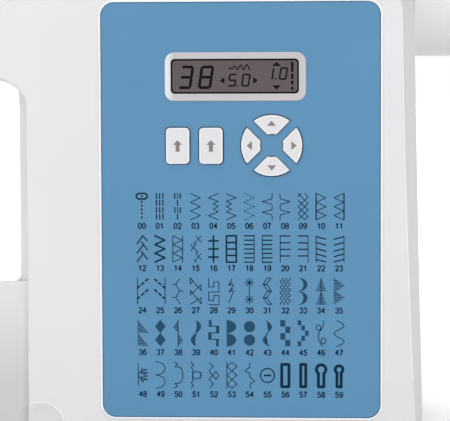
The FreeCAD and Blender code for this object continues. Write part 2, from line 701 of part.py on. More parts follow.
# Keys and knobs on the head and arm
HEAD_KEY_NAMES = ("reverse_key", "needle_key", "start_key")
HEAD_KEY_TRAVEL = 1.5
KNOB_PROUD = 4.0
SLIDER_WIDTH = 13.0
SLIDER_HEIGHT = 7.0
DIAL_PIN_R = 2.5
DIAL_RIBS = 36
RIB_R = 0.5
DISC_R = 6.0
DISC_THICK = 1.2
SLIDER_CORNER = 1.5
RIBBED_FROM = 0.35         # share of half the dial's width that stays smooth
BRACKET_HALF = 5.0
Y_HEAD_IN = Y_HEAD + WALL


def head_key(i):
    y0 = Y_HEAD - KNOB_PROUD / 2
    z = head_key_z(i)
    cap = rod_y(y0, Y_HEAD_IN + FIT + KEY_FLANGE, HEAD_KEY_X, z, HEAD_KEY_R)
    cap = soften(cap, KEY_SOFT, in_plane_y(y0))
    flange = rod_y(Y_HEAD_IN + FIT, Y_HEAD_IN + FIT + KEY_FLANGE, HEAD_KEY_X, z, HEAD_KEY_R + OVER)
    stem = rod_y(Y_HEAD_IN, Y_HEAD_IN + 2 * KNOB_PROUD, HEAD_KEY_X, z, SWITCH_R)
    return join(cap, flange, stem)


def head_board():
    y0 = Y_HEAD_IN + 2 * KNOB_PROUD + HEAD_KEY_TRAVEL + FIT
    half = HEAD_KEY_R + 2
    low = head_key_z(0) - half
    high = head_key_z(2) + half
    board = block(HEAD_KEY_X - half, HEAD_KEY_X + half, y0 + SWITCH_R, y0 + SWITCH_R + BOARD_THICK,
                  low, high)
    pieces = [rod_y(y0, y0 + SWITCH_R, HEAD_KEY_X, head_key_z(i), SWITCH_R + OVER) for i in range(3)]
    for z in (low + SWITCH_R, high - SWITCH_R):
        for x in (HEAD_KEY_X - half + SWITCH_R, HEAD_KEY_X + half - SWITCH_R):
            pieces.append(rod_y(Y_HEAD_IN, y0 + SWITCH_R, x, z, SWITCH_R * 0.7))
    return join(board, *pieces)


def speed_slider():
    x = ARM_KNOB_X
    z = SLIDER_LOW + SLIDER_STEM / 2
    half = SLIDER_WIDTH / 2
    knob = prism_y(rect(x - half, x + half, z - SLIDER_HEIGHT / 2, z + SLIDER_HEIGHT / 2, SLIDER_CORNER),
                   Y_HEAD - KNOB_PROUD, Y_HEAD - FIT)
    knob = soften(knob, KEY_SOFT, in_plane_y(Y_HEAD - KNOB_PROUD))
    stem = block(x - SLIDER_STEM / 2, x + SLIDER_STEM / 2, Y_HEAD - KNOB_PROUD / 2,
                 Y_HEAD_IN + FIT + KEY_FLANGE, z - SLIDER_STEM / 2, z + SLIDER_STEM / 2)
    keeper = block(x - half, x + half, Y_HEAD_IN + FIT, Y_HEAD_IN + FIT + KEY_FLANGE,
                   z - SLIDER_HEIGHT / 2, z + SLIDER_HEIGHT / 2)
    return join(knob, stem, keeper)


def tension_dial():
    half = DIAL_WIDTH / 2
    dial = rod_x(ARM_KNOB_X - half, ARM_KNOB_X + half, DIAL_Y, DIAL_Z, DIAL_R)
    dial = soften(dial, KEY_SOFT, lambda e: abs(e.Length - 2 * math.pi * DIAL_R) < 1e-3)
    cutters = [rod_x(ARM_KNOB_X - half - OVER, ARM_KNOB_X + half + OVER, DIAL_Y, DIAL_Z,
                     DIAL_PIN_R + BEARING_FIT)]
    for i in range(DIAL_RIBS):
        turn = 2 * math.pi * i / DIAL_RIBS
        cutters.append(rod_x(ARM_KNOB_X + half * RIBBED_FROM, ARM_KNOB_X + half + OVER,
                             DIAL_Y + DIAL_R * math.cos(turn), DIAL_Z + DIAL_R * math.sin(turn), RIB_R))
    return dial.cut(cutters)


def tension_bracket():
    near = DIAL_WIDTH / 2 + FIT
    far = near + WALL
    y_end = DIAL_Y + DIAL_R + WALL
    low = DIAL_Z - BRACKET_HALF
    high = DIAL_Z + BRACKET_HALF
    pieces = [rod_x(ARM_KNOB_X - far - 2 * WALL, ARM_KNOB_X + far, DIAL_Y, DIAL_Z, DIAL_PIN_R),
              block(ARM_KNOB_X - far, ARM_KNOB_X + far, y_end, y_end + WALL, low, high)]
    for x0 in (ARM_KNOB_X - far, ARM_KNOB_X + near):
        pieces.append(block(x0, x0 + WALL, Y_HEAD_IN, y_end + WALL, low, high))
    return join(*pieces)


def tension_discs():
    x0 = ARM_KNOB_X - DIAL_WIDTH / 2 - FIT - WALL
    discs = []
    for i in range(2):
        x1 = x0 - FIT - i * 2 * DISC_THICK
        disc = rod_x(x1 - DISC_THICK, x1, DIAL_Y, DIAL_Z, DISC_R)
        bore = rod_x(x1 - DISC_THICK - OVER, x1 + OVER, DIAL_Y, DIAL_Z, DIAL_PIN_R + BEARING_FIT)
        discs.append(disc.cut(bore))
    return Part.makeCompound(discs)


# Frame and drive
CRANK_X = NEEDLE_X + 14.0
CRANK_THICK = 10.0
CRANK_R = 20.0
CRANK_PIN_R = 3.0
CRANK_PIN_LENGTH = 6.0
ROD_THICK = 4.5
BUSH_LENGTH = 15.0
BUSH_WALL = 3.0
LUG_WALL = 4.0
HEAD_BEARING_X = CRANK_X + CRANK_THICK + 4.0
PILLAR_BEARING_X = PILLAR_LEFT + 134.0
BED_BEARING_X = HEAD_BEARING_X - 2.0
TIMING_X = PILLAR_BEARING_X + BUSH_LENGTH + 9.0
DRIVE_X = TIMING_X + TIMING_WIDTH + 7.0
POST_LEFT = PILLAR_LEFT + 36.0
POST_RIGHT = PILLAR_LEFT + 92.0
MOTOR_X = POST_RIGHT - 6.0
MOTOR_Y = FRAME_BACK + 6.0 + MOTOR_R
MOTOR_Z = CASE_FLOOR + MOTOR_R + 28.0
MOTOR_SHAFT_R = 3.0
HOOK_Y = AXIS_Y - HOOK_AHEAD
HOOK_GEAR_R = 5.2
HOOK_RATIO = 2.0
HOOK_TEETH = 12
GEAR_GAP_R = 0.9
GEAR_HALF = 5.0
HOOK_SHAFT_R = 3.5
HOOK_LUG_LOW = FREE_ARM_LOW + ARM_WALL + 1.0
HOOK_LUG_HIGH = LOWER_SHAFT_Z - HOOK_RATIO * HOOK_GEAR_R - 1.0
SWING_PIN_Z = SHAFT_Z + 19.0
SWING_PIN_R = 3.0
TAKE_UP_Y = AXIS_Y - 12.0
TAKE_UP_Z = SHAFT_Z - 12.0
TAKE_UP_PIN_R = 3.0
LEVER_PIN_R = 2.5
FEED_POST_R = 2.0
FEED_POST_X = 14.0
FEED_POST_Y = PRESSER_Y - 1.0
FEED_FLOOR = LOWER_SHAFT_Z + 12.0
FRAME_END = TAKE_UP_X - 9.0
ARM_RIB_LOW = SHAFT_Z - 16.0
ARM_RIB_HIGH = SHAFT_Z + 9.0
HEAD_WEB_RIGHT = CRANK_X + 4.0
HEAD_WEB_LOW = HEAD_LOW + 6.0
HEAD_WEB_HIGH = SWING_PIN_Z + 7.0
BED_WEB_LEFT = NEEDLE_X - 18.0
BED_WEB_HIGH = LOWER_SHAFT_Z + 14.0
POST_FOOT_WIDER = 8.0      # foot of the frame's post
POST_FOOT_AHEAD = 14.0
POST_FOOT_BEHIND = 10.0
POST_FOOT_HEIGHT = 6.0
MOTOR_MOUNT = 5.0
MOTOR_MOUNT_HALF = 16.0
HOOK_LUG_HALF = 8.0
TAKE_UP_LUG = 6.0
TAKE_UP_PIN_IN = 4.0       # pin inside its lug
SWING_PIN_FRONT = AXIS_Y + 4.0
PRESSER_GUIDES = (HEAD_LOW + 5.0, SHAFT_Z - 14.0)
PRESSER_GUIDE_HALF = 7.0
PRESSER_GUIDE_WALL = 3.0
PRESSER_GUIDE_HEIGHT = 10.0
LEVER_EAR = 3.0
LEVER_EAR_REACH = 6.0
FEED_LUG_HALF = 3.0
FEED_LUG_HEIGHT = 7.0
FEED_POST_HEIGHT = 14.0
SHAFT_IN_WHEEL = 6.0       # end of the main shaft inside the wheel
WHEEL_HUB = 12.0
WHEEL_DISH = 5.0
WHEEL_EDGE = 0.6
WHEEL_ROUND = 4.0
DISH_OUTER = 0.62          # rims of the dish, as shares of the wheel's radius
DISH_INNER = 0.52
DISH_ROUND = 3.0
MOTOR_ROUND = 3.0


def turned_x(points, y, z):
    """Turn an (x, radius) profile about a line along X."""
    wire = outline(points, lambda x, r: V(x, y, z + r))
    return Part.Face(wire).revolve(V(0, y, z), V(1, 0, 0), 360)


def turned_z(points, x, y):
    wire = outline(points, lambda r, z: V(x + r, y, z))
    return Part.Face(wire).revolve(V(x, y, 0), V(0, 0, 1), 360)


def sleeve_x(x0, x1, y, z, r_out, r_in):
    return rod_x(x0, x1, y, z, r_out).cut(rod_x(x0 - OVER, x1 + OVER, y, z, r_in))


def bearings():
    """Each bush: left end, height of its shaft, radius of its shaft."""
    return [(HEAD_BEARING_X, SHAFT_Z, MAIN_SHAFT_R), (PILLAR_BEARING_X, SHAFT_Z, MAIN_SHAFT_R),
            (BED_BEARING_X, LOWER_SHAFT_Z, LOWER_SHAFT_R),
            (PILLAR_BEARING_X, LOWER_SHAFT_Z, LOWER_SHAFT_R)]


def shaft_bushes():
    bushes = []
    for x, z, r in bearings():
        bushes.append(sleeve_x(x, x + BUSH_LENGTH, AXIS_Y, z, r + BUSH_WALL, r + BEARING_FIT))
    return Part.makeCompound(bushes)


def main_frame():
    right = PILLAR_BEARING_X + BUSH_LENGTH
    lever_half = LEVER_HALF + LEVER_EAR
    webs = [
        block(FRAME_END, right, FRAME_Y, FRAME_BACK, ARM_RIB_LOW, ARM_RIB_HIGH),
        block(FRAME_END, HEAD_WEB_RIGHT, FRAME_Y, FRAME_BACK, HEAD_WEB_LOW, HEAD_WEB_HIGH),
        block(POST_LEFT, POST_RIGHT, FRAME_Y, FRAME_BACK, CASE_FLOOR, ARM_RIB_HIGH),
        block(BED_WEB_LEFT, right, FRAME_Y, FRAME_BACK, HOOK_LUG_LOW, BED_WEB_HIGH),
        block(POST_LEFT - POST_FOOT_WIDER, POST_RIGHT + POST_FOOT_WIDER, FRAME_Y - POST_FOOT_AHEAD,
              FRAME_BACK + POST_FOOT_BEHIND, CASE_FLOOR, CASE_FLOOR + POST_FOOT_HEIGHT),
        block(MOTOR_X - MOTOR_MOUNT, MOTOR_X, FRAME_BACK - OVER, MOTOR_Y + MOTOR_R,
              MOTOR_Z - MOTOR_MOUNT_HALF, MOTOR_Z + MOTOR_MOUNT_HALF),
        block(NEEDLE_X - HOOK_LUG_HALF, NEEDLE_X + HOOK_LUG_HALF, HOOK_Y - HOOK_LUG_HALF, FRAME_Y + OVER,
              HOOK_LUG_LOW, HOOK_LUG_HIGH),
        block(FRAME_END, TAKE_UP_X - TAKE_UP_THICK / 2 - FIT, TAKE_UP_Y - TAKE_UP_LUG, FRAME_Y + OVER,
              TAKE_UP_Z - TAKE_UP_LUG, TAKE_UP_Z + TAKE_UP_LUG),
        rod_x(TAKE_UP_X - TAKE_UP_PIN_IN, TAKE_UP_X + TAKE_UP_THICK / 2 + OVER, TAKE_UP_Y, TAKE_UP_Z,
              TAKE_UP_PIN_R),
        rod_y(SWING_PIN_FRONT, FRAME_Y + OVER, NEEDLE_X, SWING_PIN_Z, SWING_PIN_R),
    ]
    bores = []
    for x, z, r in bearings():
        seat = r + BUSH_WALL
        webs.append(block(x, x + BUSH_LENGTH, AXIS_Y - seat - LUG_WALL, FRAME_Y + OVER,
                          z - seat - LUG_WALL, z + seat + LUG_WALL))
        bores.append(rod_x(x - OVER, x + BUSH_LENGTH + OVER, AXIS_Y, z, seat))
    for z in PRESSER_GUIDES:
        webs.append(block(NEEDLE_X - PRESSER_GUIDE_HALF, NEEDLE_X + PRESSER_GUIDE_HALF,
                          PRESSER_Y - NEEDLE_BAR_R - PRESSER_GUIDE_WALL, FRAME_Y + OVER,
                          z, z + PRESSER_GUIDE_HEIGHT))
    for side in (-1, 1):
        x = NEEDLE_X + side * (LEVER_HALF + FIT + LEVER_EAR / 2)
        webs.append(block(x - LEVER_EAR / 2, x + LEVER_EAR / 2, FRAME_BACK - OVER,
                          LEVER_PIVOT_Y + LEVER_EAR_REACH, LEVER_PIVOT_Z - LEVER_EAR_REACH,
                          LEVER_PIVOT_Z + LEVER_EAR_REACH))
        x = NEEDLE_X + side * FEED_POST_X
        webs.append(block(x - FEED_LUG_HALF, x + FEED_LUG_HALF, FEED_POST_Y - FEED_LUG_HALF, FRAME_Y + OVER,
                          FEED_FLOOR - FEED_LUG_HEIGHT, FEED_FLOOR))
        webs.append(rod_z(FEED_FLOOR - OVER, FEED_FLOOR + FEED_POST_HEIGHT, x, FEED_POST_Y, FEED_POST_R))
    bores += [
        rod_z(HEAD_LOW, SHAFT_Z, NEEDLE_X, PRESSER_Y, NEEDLE_BAR_R + BEARING_FIT),
        rod_z(HOOK_LUG_LOW - OVER, HOOK_LUG_HIGH + OVER, NEEDLE_X, HOOK_Y, HOOK_SHAFT_R + BEARING_FIT),
        rod_x(NEEDLE_X - lever_half - OVER, NEEDLE_X + lever_half + OVER, LEVER_PIVOT_Y, LEVER_PIVOT_Z,
              LEVER_PIN_R + BEARING_FIT),
        rod_x(MOTOR_X - MOTOR_MOUNT - OVER, MOTOR_X + OVER, MOTOR_Y, MOTOR_Z, MOTOR_SHAFT_R * 2),
    ]
    return join(*webs).cut(bores)


def main_shaft():
    return rod_x(CRANK_X + OVER, X_RIGHT - SHAFT_IN_WHEEL, AXIS_Y, SHAFT_Z, MAIN_SHAFT_R)


def hand_wheel():
    x0 = X_RIGHT - WHEEL_WIDTH
    hub = x0 - WHEEL_HUB
    dish = X_RIGHT - WHEEL_DISH
    bore = MAIN_SHAFT_R + BEARING_FIT
    profile = [(hub, bore, 0), (hub, HUB_R, 1), (x0, HUB_R, 0), (x0, WHEEL_RADIUS, WHEEL_EDGE),
               (X_RIGHT, WHEEL_RADIUS, WHEEL_ROUND), (X_RIGHT, WHEEL_RADIUS * DISH_OUTER, DISH_ROUND),
               (dish, WHEEL_RADIUS * DISH_INNER, DISH_ROUND), (dish, bore, 0)]
    return turned_x(profile, AXIS_Y, SHAFT_Z)


def belt_pulley(x0, width, y, z, r, bore):
    x1 = x0 + width
    rim = r + BELT_THICK + FIT
    profile = [(x0, bore, 0), (x0, rim, 0), (x0 + FLANGE, rim, 0), (x0 + FLANGE, r, 0),
               (x1 - FLANGE, r, 0), (x1 - FLANGE, rim, 0), (x1, rim, 0), (x1, bore, 0)]
    return turned_x(profile, y, z)


def belt_loop(x0, x1, a, b):
    """A flat belt round two pulleys, each (y, z, radius)."""

    def hull(grow):
        ya, za, ra = a[0], a[1], a[2] + grow
        yb, zb, rb = b[0], b[1], b[2] + grow
        toward = math.atan2(zb - za, yb - ya)
        spread = math.acos((ra - rb) / math.hypot(yb - ya, zb - za))

        def on(y, z, r, turn):
            return V(x0, y + r * math.cos(turn), z + r * math.sin(turn))

        a1 = on(ya, za, ra, toward + spread)
        a2 = on(ya, za, ra, toward - spread)
        b1 = on(yb, zb, rb, toward + spread)
        b2 = on(yb, zb, rb, toward - spread)
        edges = [Part.LineSegment(a1, b1).toShape(),
                 Part.Arc(b1, on(yb, zb, rb, toward), b2).toShape(),
                 Part.LineSegment(b2, a2).toShape(),
                 Part.Arc(a2, on(ya, za, ra, toward + math.pi), a1).toShape()]
        return Part.Face(Part.Wire(edges)).extrude(V(x1 - x0, 0, 0))

    return hull(FIT + BELT_THICK).cut(hull(FIT))


def upper_timing_pulley():
    return belt_pulley(TIMING_X, TIMING_WIDTH, AXIS_Y, SHAFT_Z, TIMING_R, MAIN_SHAFT_R + BEARING_FIT)


def lower_timing_pulley():
    return belt_pulley(TIMING_X, TIMING_WIDTH, AXIS_Y, LOWER_SHAFT_Z, TIMING_R, LOWER_SHAFT_R + BEARING_FIT)


def timing_belt():
    x0 = TIMING_X + (TIMING_WIDTH - BELT_WIDTH) / 2
    return belt_loop(x0, x0 + BELT_WIDTH, (AXIS_Y, SHAFT_Z, TIMING_R), (AXIS_Y, LOWER_SHAFT_Z, TIMING_R))


def drive_pulley():
    return belt_pulley(DRIVE_X, TIMING_WIDTH, AXIS_Y, SHAFT_Z, DRIVE_PULLEY_R, MAIN_SHAFT_R + BEARING_FIT)


def motor_pulley():
    r = DRIVE_PULLEY_R / MOTOR_RATIO
    pulley = belt_pulley(DRIVE_X, TIMING_WIDTH, MOTOR_Y, MOTOR_Z, r, MOTOR_SHAFT_R - OVER)
    shaft_end = DRIVE_X + TIMING_WIDTH
    shaft = rod_x(MOTOR_X + MOTOR_LENGTH + FIT, shaft_end, MOTOR_Y, MOTOR_Z, MOTOR_SHAFT_R)
    return join(pulley, shaft)


def motor_belt():
    x0 = DRIVE_X + (TIMING_WIDTH - BELT_WIDTH) / 2
    return belt_loop(x0, x0 + BELT_WIDTH, (AXIS_Y, SHAFT_Z, DRIVE_PULLEY_R),
                     (MOTOR_Y, MOTOR_Z, DRIVE_PULLEY_R / MOTOR_RATIO))


def motor():
    can = rod_x(MOTOR_X, MOTOR_X + MOTOR_LENGTH, MOTOR_Y, MOTOR_Z, MOTOR_R)
    return soften(can, MOTOR_ROUND, lambda e: abs(e.Length - 2 * math.pi * MOTOR_R) < 1e-3)


def lower_shaft():
    return rod_x(NEEDLE_X - GEAR_HALF - OVER, TIMING_X + TIMING_WIDTH, AXIS_Y, LOWER_SHAFT_Z, LOWER_SHAFT_R)


def toothed_disc(shape, teeth, radius, gap):
    turns = [2 * math.pi * i / teeth for i in range(teeth)]
    return shape.cut([gap(radius * math.cos(turn), radius * math.sin(turn)) for turn in turns])


def hook_drive_gear():
    r = HOOK_GEAR_R * HOOK_RATIO
    x0 = NEEDLE_X - GEAR_HALF
    x1 = NEEDLE_X + GEAR_HALF
    gear = sleeve_x(x0, x1, AXIS_Y, LOWER_SHAFT_Z, r, LOWER_SHAFT_R + BEARING_FIT)

    def gap(u, v):
        return rod_x(x0 - OVER, x1 + OVER, AXIS_Y + u, LOWER_SHAFT_Z + v, GEAR_GAP_R)

    return toothed_disc(gear, int(HOOK_TEETH * HOOK_RATIO), r, gap)


# Needle works: at rest the needle is up
PIN_TOP = SHAFT_Z + STROKE / 2
STUD_Z = PIN_TOP - ROD_LENGTH
BAR_HALF = 5.0
SWING_LEFT = NEEDLE_X - 6.0
SWING_RIGHT = NEEDLE_X + 5.0
LOWER_GUIDE = HEAD_LOW + 8.0
UPPER_GUIDE = STUD_Z + 16.0
CLAMP_TOP = HEAD_LOW - 5.0
CLAMP_HEIGHT = 13.0
NEEDLE_TOP = CLAMP_TOP - CLAMP_HEIGHT / 2
NEEDLE_SLOT_X = ZIGZAG_WIDTH / 2 + NEEDLE_R + FIT
NEEDLE_SLOT_Y = 1.6
ROD_HALF = 3.0
ROD_BIG_EYE = 6.5
ROD_SMALL_EYE = 6.0
SWING_THICK = 4.0
SWING_EYE_WALL = 4.0
GUIDE_AHEAD = 7.0
GUIDE_HEIGHT = 9.0
BAR_TOP = SHAFT_Z + 9.0
COLLAR_HALF = 6.0
COLLAR_PLAY = 0.8
CLAMP_SCREW_UP = 4.0
CLAMP_SCREW_R = 1.5
CLAMP_KNOB_R = 3.4
CLAMP_KNOB_LEFT = 8.0
CLAMP_KNOB_RIGHT = 12.0
SHANK_SHARE = 0.3          # thick part of the needle
NEEDLE_TIP = 4.0
TAKE_UP_PROUD = 7.0
TAKE_UP_RISE = 26.0
TAKE_UP_HUB = 6.5
TAKE_UP_HALF = 5.0
TAKE_UP_EYE = 1.4


def needle_crank():
    disc = sleeve_x(CRANK_X, CRANK_X + CRANK_THICK, AXIS_Y, SHAFT_Z, CRANK_R, MAIN_SHAFT_R + BEARING_FIT)
    pin = rod_x(CRANK_X - CRANK_PIN_LENGTH, CRANK_X + OVER, AXIS_Y, PIN_TOP, CRANK_PIN_R)
    return join(disc, pin)


def connecting_rod():
    x1 = CRANK_X - FIT
    x0 = x1 - ROD_THICK
    bar = block(x0, x1, AXIS_Y - ROD_HALF, AXIS_Y + ROD_HALF, STUD_Z, PIN_TOP)
    rod = join(bar, rod_x(x0, x1, AXIS_Y, PIN_TOP, ROD_BIG_EYE), rod_x(x0, x1, AXIS_Y, STUD_Z, ROD_SMALL_EYE))
    return rod.cut([rod_x(x0 - OVER, x1 + OVER, AXIS_Y, PIN_TOP, CRANK_PIN_R + BEARING_FIT),
                    rod_x(x0 - OVER, x1 + OVER, AXIS_Y, STUD_Z, CRANK_PIN_R + BEARING_FIT)])


def needle_bar_frame():
    y0 = AXIS_Y + BAR_HALF
    y1 = y0 + SWING_THICK
    web = block(SWING_LEFT, SWING_RIGHT, y0, y1, LOWER_GUIDE, SWING_PIN_Z)
    eye = rod_y(y0, y1, NEEDLE_X, SWING_PIN_Z, SWING_PIN_R + SWING_EYE_WALL)
    guides = [block(SWING_LEFT, SWING_RIGHT, AXIS_Y - GUIDE_AHEAD, y1, z, z + GUIDE_HEIGHT)
              for z in (LOWER_GUIDE, UPPER_GUIDE)]
    frame = join(web, eye, *guides)
    return frame.cut([rod_z(HEAD_LOW, SWING_PIN_Z, NEEDLE_X, AXIS_Y, NEEDLE_BAR_R + BEARING_FIT),
                      rod_y(y0 - OVER, y1 + OVER, NEEDLE_X, SWING_PIN_Z, SWING_PIN_R + BEARING_FIT)])


def needle_bar():
    bar = rod_z(CLAMP_TOP - CLAMP_HEIGHT / 2, BAR_TOP, NEEDLE_X, AXIS_Y, NEEDLE_BAR_R)
    collar = block(NEEDLE_X - BAR_HALF, NEEDLE_X + BAR_HALF, AXIS_Y - COLLAR_HALF,
                   AXIS_Y + BAR_HALF - COLLAR_PLAY, STUD_Z - COLLAR_HALF, STUD_Z + COLLAR_HALF)
    stud = rod_x(NEEDLE_X, NEEDLE_X + BAR_HALF + COLLAR_PLAY, AXIS_Y, STUD_Z, CRANK_PIN_R)
    return join(bar, collar, stud)


def needle_clamp():
    z0 = CLAMP_TOP - CLAMP_HEIGHT
    body = rod_z(z0, CLAMP_TOP, NEEDLE_X, AXIS_Y, BAR_HALF)
    screw_z = z0 + CLAMP_SCREW_UP
    knob_x = NEEDLE_X + CLAMP_KNOB_LEFT
    screw = join(rod_x(NEEDLE_X + BAR_HALF - OVER, knob_x + OVER, AXIS_Y, screw_z, CLAMP_SCREW_R),
                 rod_x(knob_x, NEEDLE_X + CLAMP_KNOB_RIGHT, AXIS_Y, screw_z, CLAMP_KNOB_R))
    clamp = join(body, screw)
    bar_hole = rod_z(NEEDLE_TOP - SEAM, CLAMP_TOP + OVER, NEEDLE_X, AXIS_Y, NEEDLE_BAR_R + BEARING_FIT)
    needle_hole = rod_z(z0 - OVER, NEEDLE_TOP + OVER, NEEDLE_X, AXIS_Y, 2 * NEEDLE_R + BEARING_FIT)
    return clamp.cut([bar_hole, needle_hole])


def needle():
    shank = NEEDLE_LENGTH * SHANK_SHARE
    low = NEEDLE_TOP - NEEDLE_LENGTH
    profile = [(0, low, 0), (NEEDLE_R, low + NEEDLE_TIP, 0), (NEEDLE_R, NEEDLE_TOP - shank, 0),
               (2 * NEEDLE_R, NEEDLE_TOP - shank + OVER, 0), (2 * NEEDLE_R, NEEDLE_TOP - SEAM, 0),
               (0, NEEDLE_TOP - SEAM, 0)]
    return turned_z(profile, NEEDLE_X, AXIS_Y)


def take_up_lever():
    tip_y = Y_HEAD - TAKE_UP_PROUD
    tip_z = TAKE_UP_Z + TAKE_UP_RISE
    x0 = TAKE_UP_X - TAKE_UP_THICK / 2
    x1 = TAKE_UP_X + TAKE_UP_THICK / 2
    arm = prism_x([(TAKE_UP_Y, TAKE_UP_Z - TAKE_UP_HALF, 0), (TAKE_UP_Y + 2, TAKE_UP_Z + TAKE_UP_HALF, 0),
                   (tip_y + 5, tip_z + 4, 3), (tip_y, tip_z + OVER, 3), (tip_y + 2, tip_z - 4, 3)], x0, x1)
    lever = join(arm, rod_x(x0, x1, TAKE_UP_Y, TAKE_UP_Z, TAKE_UP_HUB))
    return lever.cut([rod_x(x0 - OVER, x1 + OVER, TAKE_UP_Y, TAKE_UP_Z, TAKE_UP_PIN_R + BEARING_FIT),
                      rod_x(x0 - OVER, x1 + OVER, tip_y + 4, tip_z, TAKE_UP_EYE)])


# Presser: at rest the foot is down, just above the feed teeth
SOLE_Z = BED_HEIGHT + FEED_PROUD + FIT
SOLE_THICK = 2.0
ANKLE_Y = PRESSER_Y - 8.0
ANKLE_Z = SOLE_Z + 6.5
ANKLE_R = 1.5
FOOT_HALF = 11.0
TOE_LENGTH = 20.0          # sole in front of the needle
HEEL_LENGTH = 9.0
HEEL_RISE = 2.4
EAR_X = 5.6
EAR_THICK = 2.0
HOLDER_TOP = SOLE_Z + 29.0
HOLDER_LOW = SOLE_Z + 11.0
HOLDER_FRONT = PRESSER_Y - 6.0
HOLDER_BACK = PRESSER_Y + 5.0
HOLDER_SCREW_DOWN = 6.0
HOLDER_SCREW_R = 3.2
HOLDER_SCREW_LENGTH = 7.0
BAR_END = SOLE_Z + 15.0
BAR_SOCKET = BAR_END - OVER
LIFT_COLLAR_HALF = 6.0
LIFT_COLLAR_AHEAD = 5.0
LIFT_COLLAR_TALL = 5.0
ANKLE_HALF = 3.0
ANKLE_DROP = 2.5
EAR_FOOT_HALF = 4.0
EAR_TOP_ROUND = 2.0
TOE_RISE = 2.5
TOE_RAMP = 6.0
TOE_ROUND = 3.0
TOE_EDGE = 0.6
TOE_SLIT = 1.0
SLOT_REACH = 3.0
LEVER_REACH = 24.0
LEVER_DROP = 9.0
LEVER_TIP = 5.0
LEVER_HUB = 6.0
LEVER_ROOT = 5.0
LEVER_NECK = 14.0
LEVER_NECK_LOW = 4.0
LEVER_NECK_HIGH = 3.0
LEVER_TIP_ROUND = 2.0
LEVER_BEND = 6.0


def presser_bar():
    bar = rod_z(BAR_END, SHAFT_Z + LIFT_COLLAR_TALL, NEEDLE_X, PRESSER_Y, NEEDLE_BAR_R)
    collar_z = (HEAD_LOW + SHAFT_Z) / 2
    collar = block(NEEDLE_X - LIFT_COLLAR_HALF, NEEDLE_X + LIFT_COLLAR_HALF, PRESSER_Y - LIFT_COLLAR_AHEAD,
                   FRAME_Y - FIT, collar_z - LIFT_COLLAR_TALL, collar_z + LIFT_COLLAR_TALL)
    return join(bar, collar)


def foot_holder():
    half = EAR_X - FIT
    body = block(NEEDLE_X - half, NEEDLE_X + half, HOLDER_FRONT, HOLDER_BACK, HOLDER_LOW, HOLDER_TOP)
    body = body.cut(rod_z(BAR_SOCKET, HOLDER_TOP + OVER, NEEDLE_X, PRESSER_Y, NEEDLE_BAR_R + BEARING_FIT))
    ankle_low = ANKLE_Z - ANKLE_DROP
    ankle_high = HOLDER_LOW + OVER
    ankle = prism_x([(ANKLE_Y - ANKLE_HALF, ankle_low, 1), (ANKLE_Y + ANKLE_HALF, ankle_low, 1),
                     (PRESSER_Y + ANKLE_HALF, ankle_high, 0), (HOLDER_FRONT, ankle_high, 0)],
                    NEEDLE_X - half, NEEDLE_X + half)
    pin = rod_x(NEEDLE_X - EAR_X - EAR_THICK, NEEDLE_X + EAR_X + EAR_THICK, ANKLE_Y, ANKLE_Z, ANKLE_R)
    screw = rod_x(NEEDLE_X - half - HOLDER_SCREW_LENGTH, NEEDLE_X - half + OVER, PRESSER_Y,
                  HOLDER_TOP - HOLDER_SCREW_DOWN, HOLDER_SCREW_R)
    return join(body, ankle, pin, screw)


def presser_foot():
    toe = AXIS_Y - TOE_LENGTH
    heel = ANKLE_Y + HEEL_LENGTH
    top = SOLE_Z + SOLE_THICK
    x0 = NEEDLE_X - FOOT_HALF
    x1 = NEEDLE_X + FOOT_HALF
    sole = prism_x([(toe, SOLE_Z + TOE_RISE, TOE_EDGE), (toe + TOE_RAMP, SOLE_Z, TOE_ROUND),
                    (ANKLE_Y, SOLE_Z, 0), (heel, SOLE_Z + HEEL_RISE, 0), (heel, top + HEEL_RISE, 0),
                    (ANKLE_Y, top, 0), (toe + TOE_RAMP + OVER, top, TOE_ROUND),
                    (toe, top + SOLE_THICK, TOE_EDGE)], x0, x1)
    ears = []
    for ear_x in (NEEDLE_X - EAR_X - EAR_THICK, NEEDLE_X + EAR_X):
        ear = [(ANKLE_Y - EAR_FOOT_HALF, SOLE_Z + OVER, 0), (ANKLE_Y + EAR_FOOT_HALF, SOLE_Z + OVER, 0),
               (ANKLE_Y + ANKLE_HALF, ANKLE_Z + ANKLE_HALF, EAR_TOP_ROUND),
               (ANKLE_Y - ANKLE_HALF, ANKLE_Z + ANKLE_HALF, EAR_TOP_ROUND)]
        ears.append(prism_x(ear, ear_x, ear_x + EAR_THICK))
    slot = NEEDLE_SLOT_X + OVER
    cutters = [
        rod_x(x0, x1, ANKLE_Y, ANKLE_Z, ANKLE_R + BEARING_FIT),
        block(NEEDLE_X - slot, NEEDLE_X + slot, AXIS_Y - SLOT_REACH, AXIS_Y + SLOT_REACH, SOLE_Z - OVER,
              top + OVER),
        block(NEEDLE_X - TOE_SLIT, NEEDLE_X + TOE_SLIT, toe - OVER, AXIS_Y, SOLE_Z - OVER,
              top + SOLE_THICK + OVER),
    ]
    return join(sole, *ears).cut(cutters)


def presser_lever():
    y, z = LEVER_PIVOT_Y, LEVER_PIVOT_Z
    end = Y_ARM_BACK + LEVER_REACH
    neck = y + LEVER_NECK
    x0 = NEEDLE_X - LEVER_HALF
    x1 = NEEDLE_X + LEVER_HALF
    low = z - LEVER_DROP
    arm = prism_x([(y, z - LEVER_ROOT, 0), (neck, z - LEVER_NECK_LOW, LEVER_BEND), (end, low, LEVER_TIP_ROUND),
                   (end, low + LEVER_TIP, LEVER_TIP_ROUND), (neck + 2, z + LEVER_NECK_HIGH, LEVER_BEND),
                   (y, z + LEVER_ROOT, 0)], x0, x1)
    pin = rod_x(x0 - FIT - LEVER_EAR, x1 + FIT + LEVER_EAR, y, z, LEVER_PIN_R)
    return join(arm, rod_x(x0, x1, y, z, LEVER_HUB), pin)


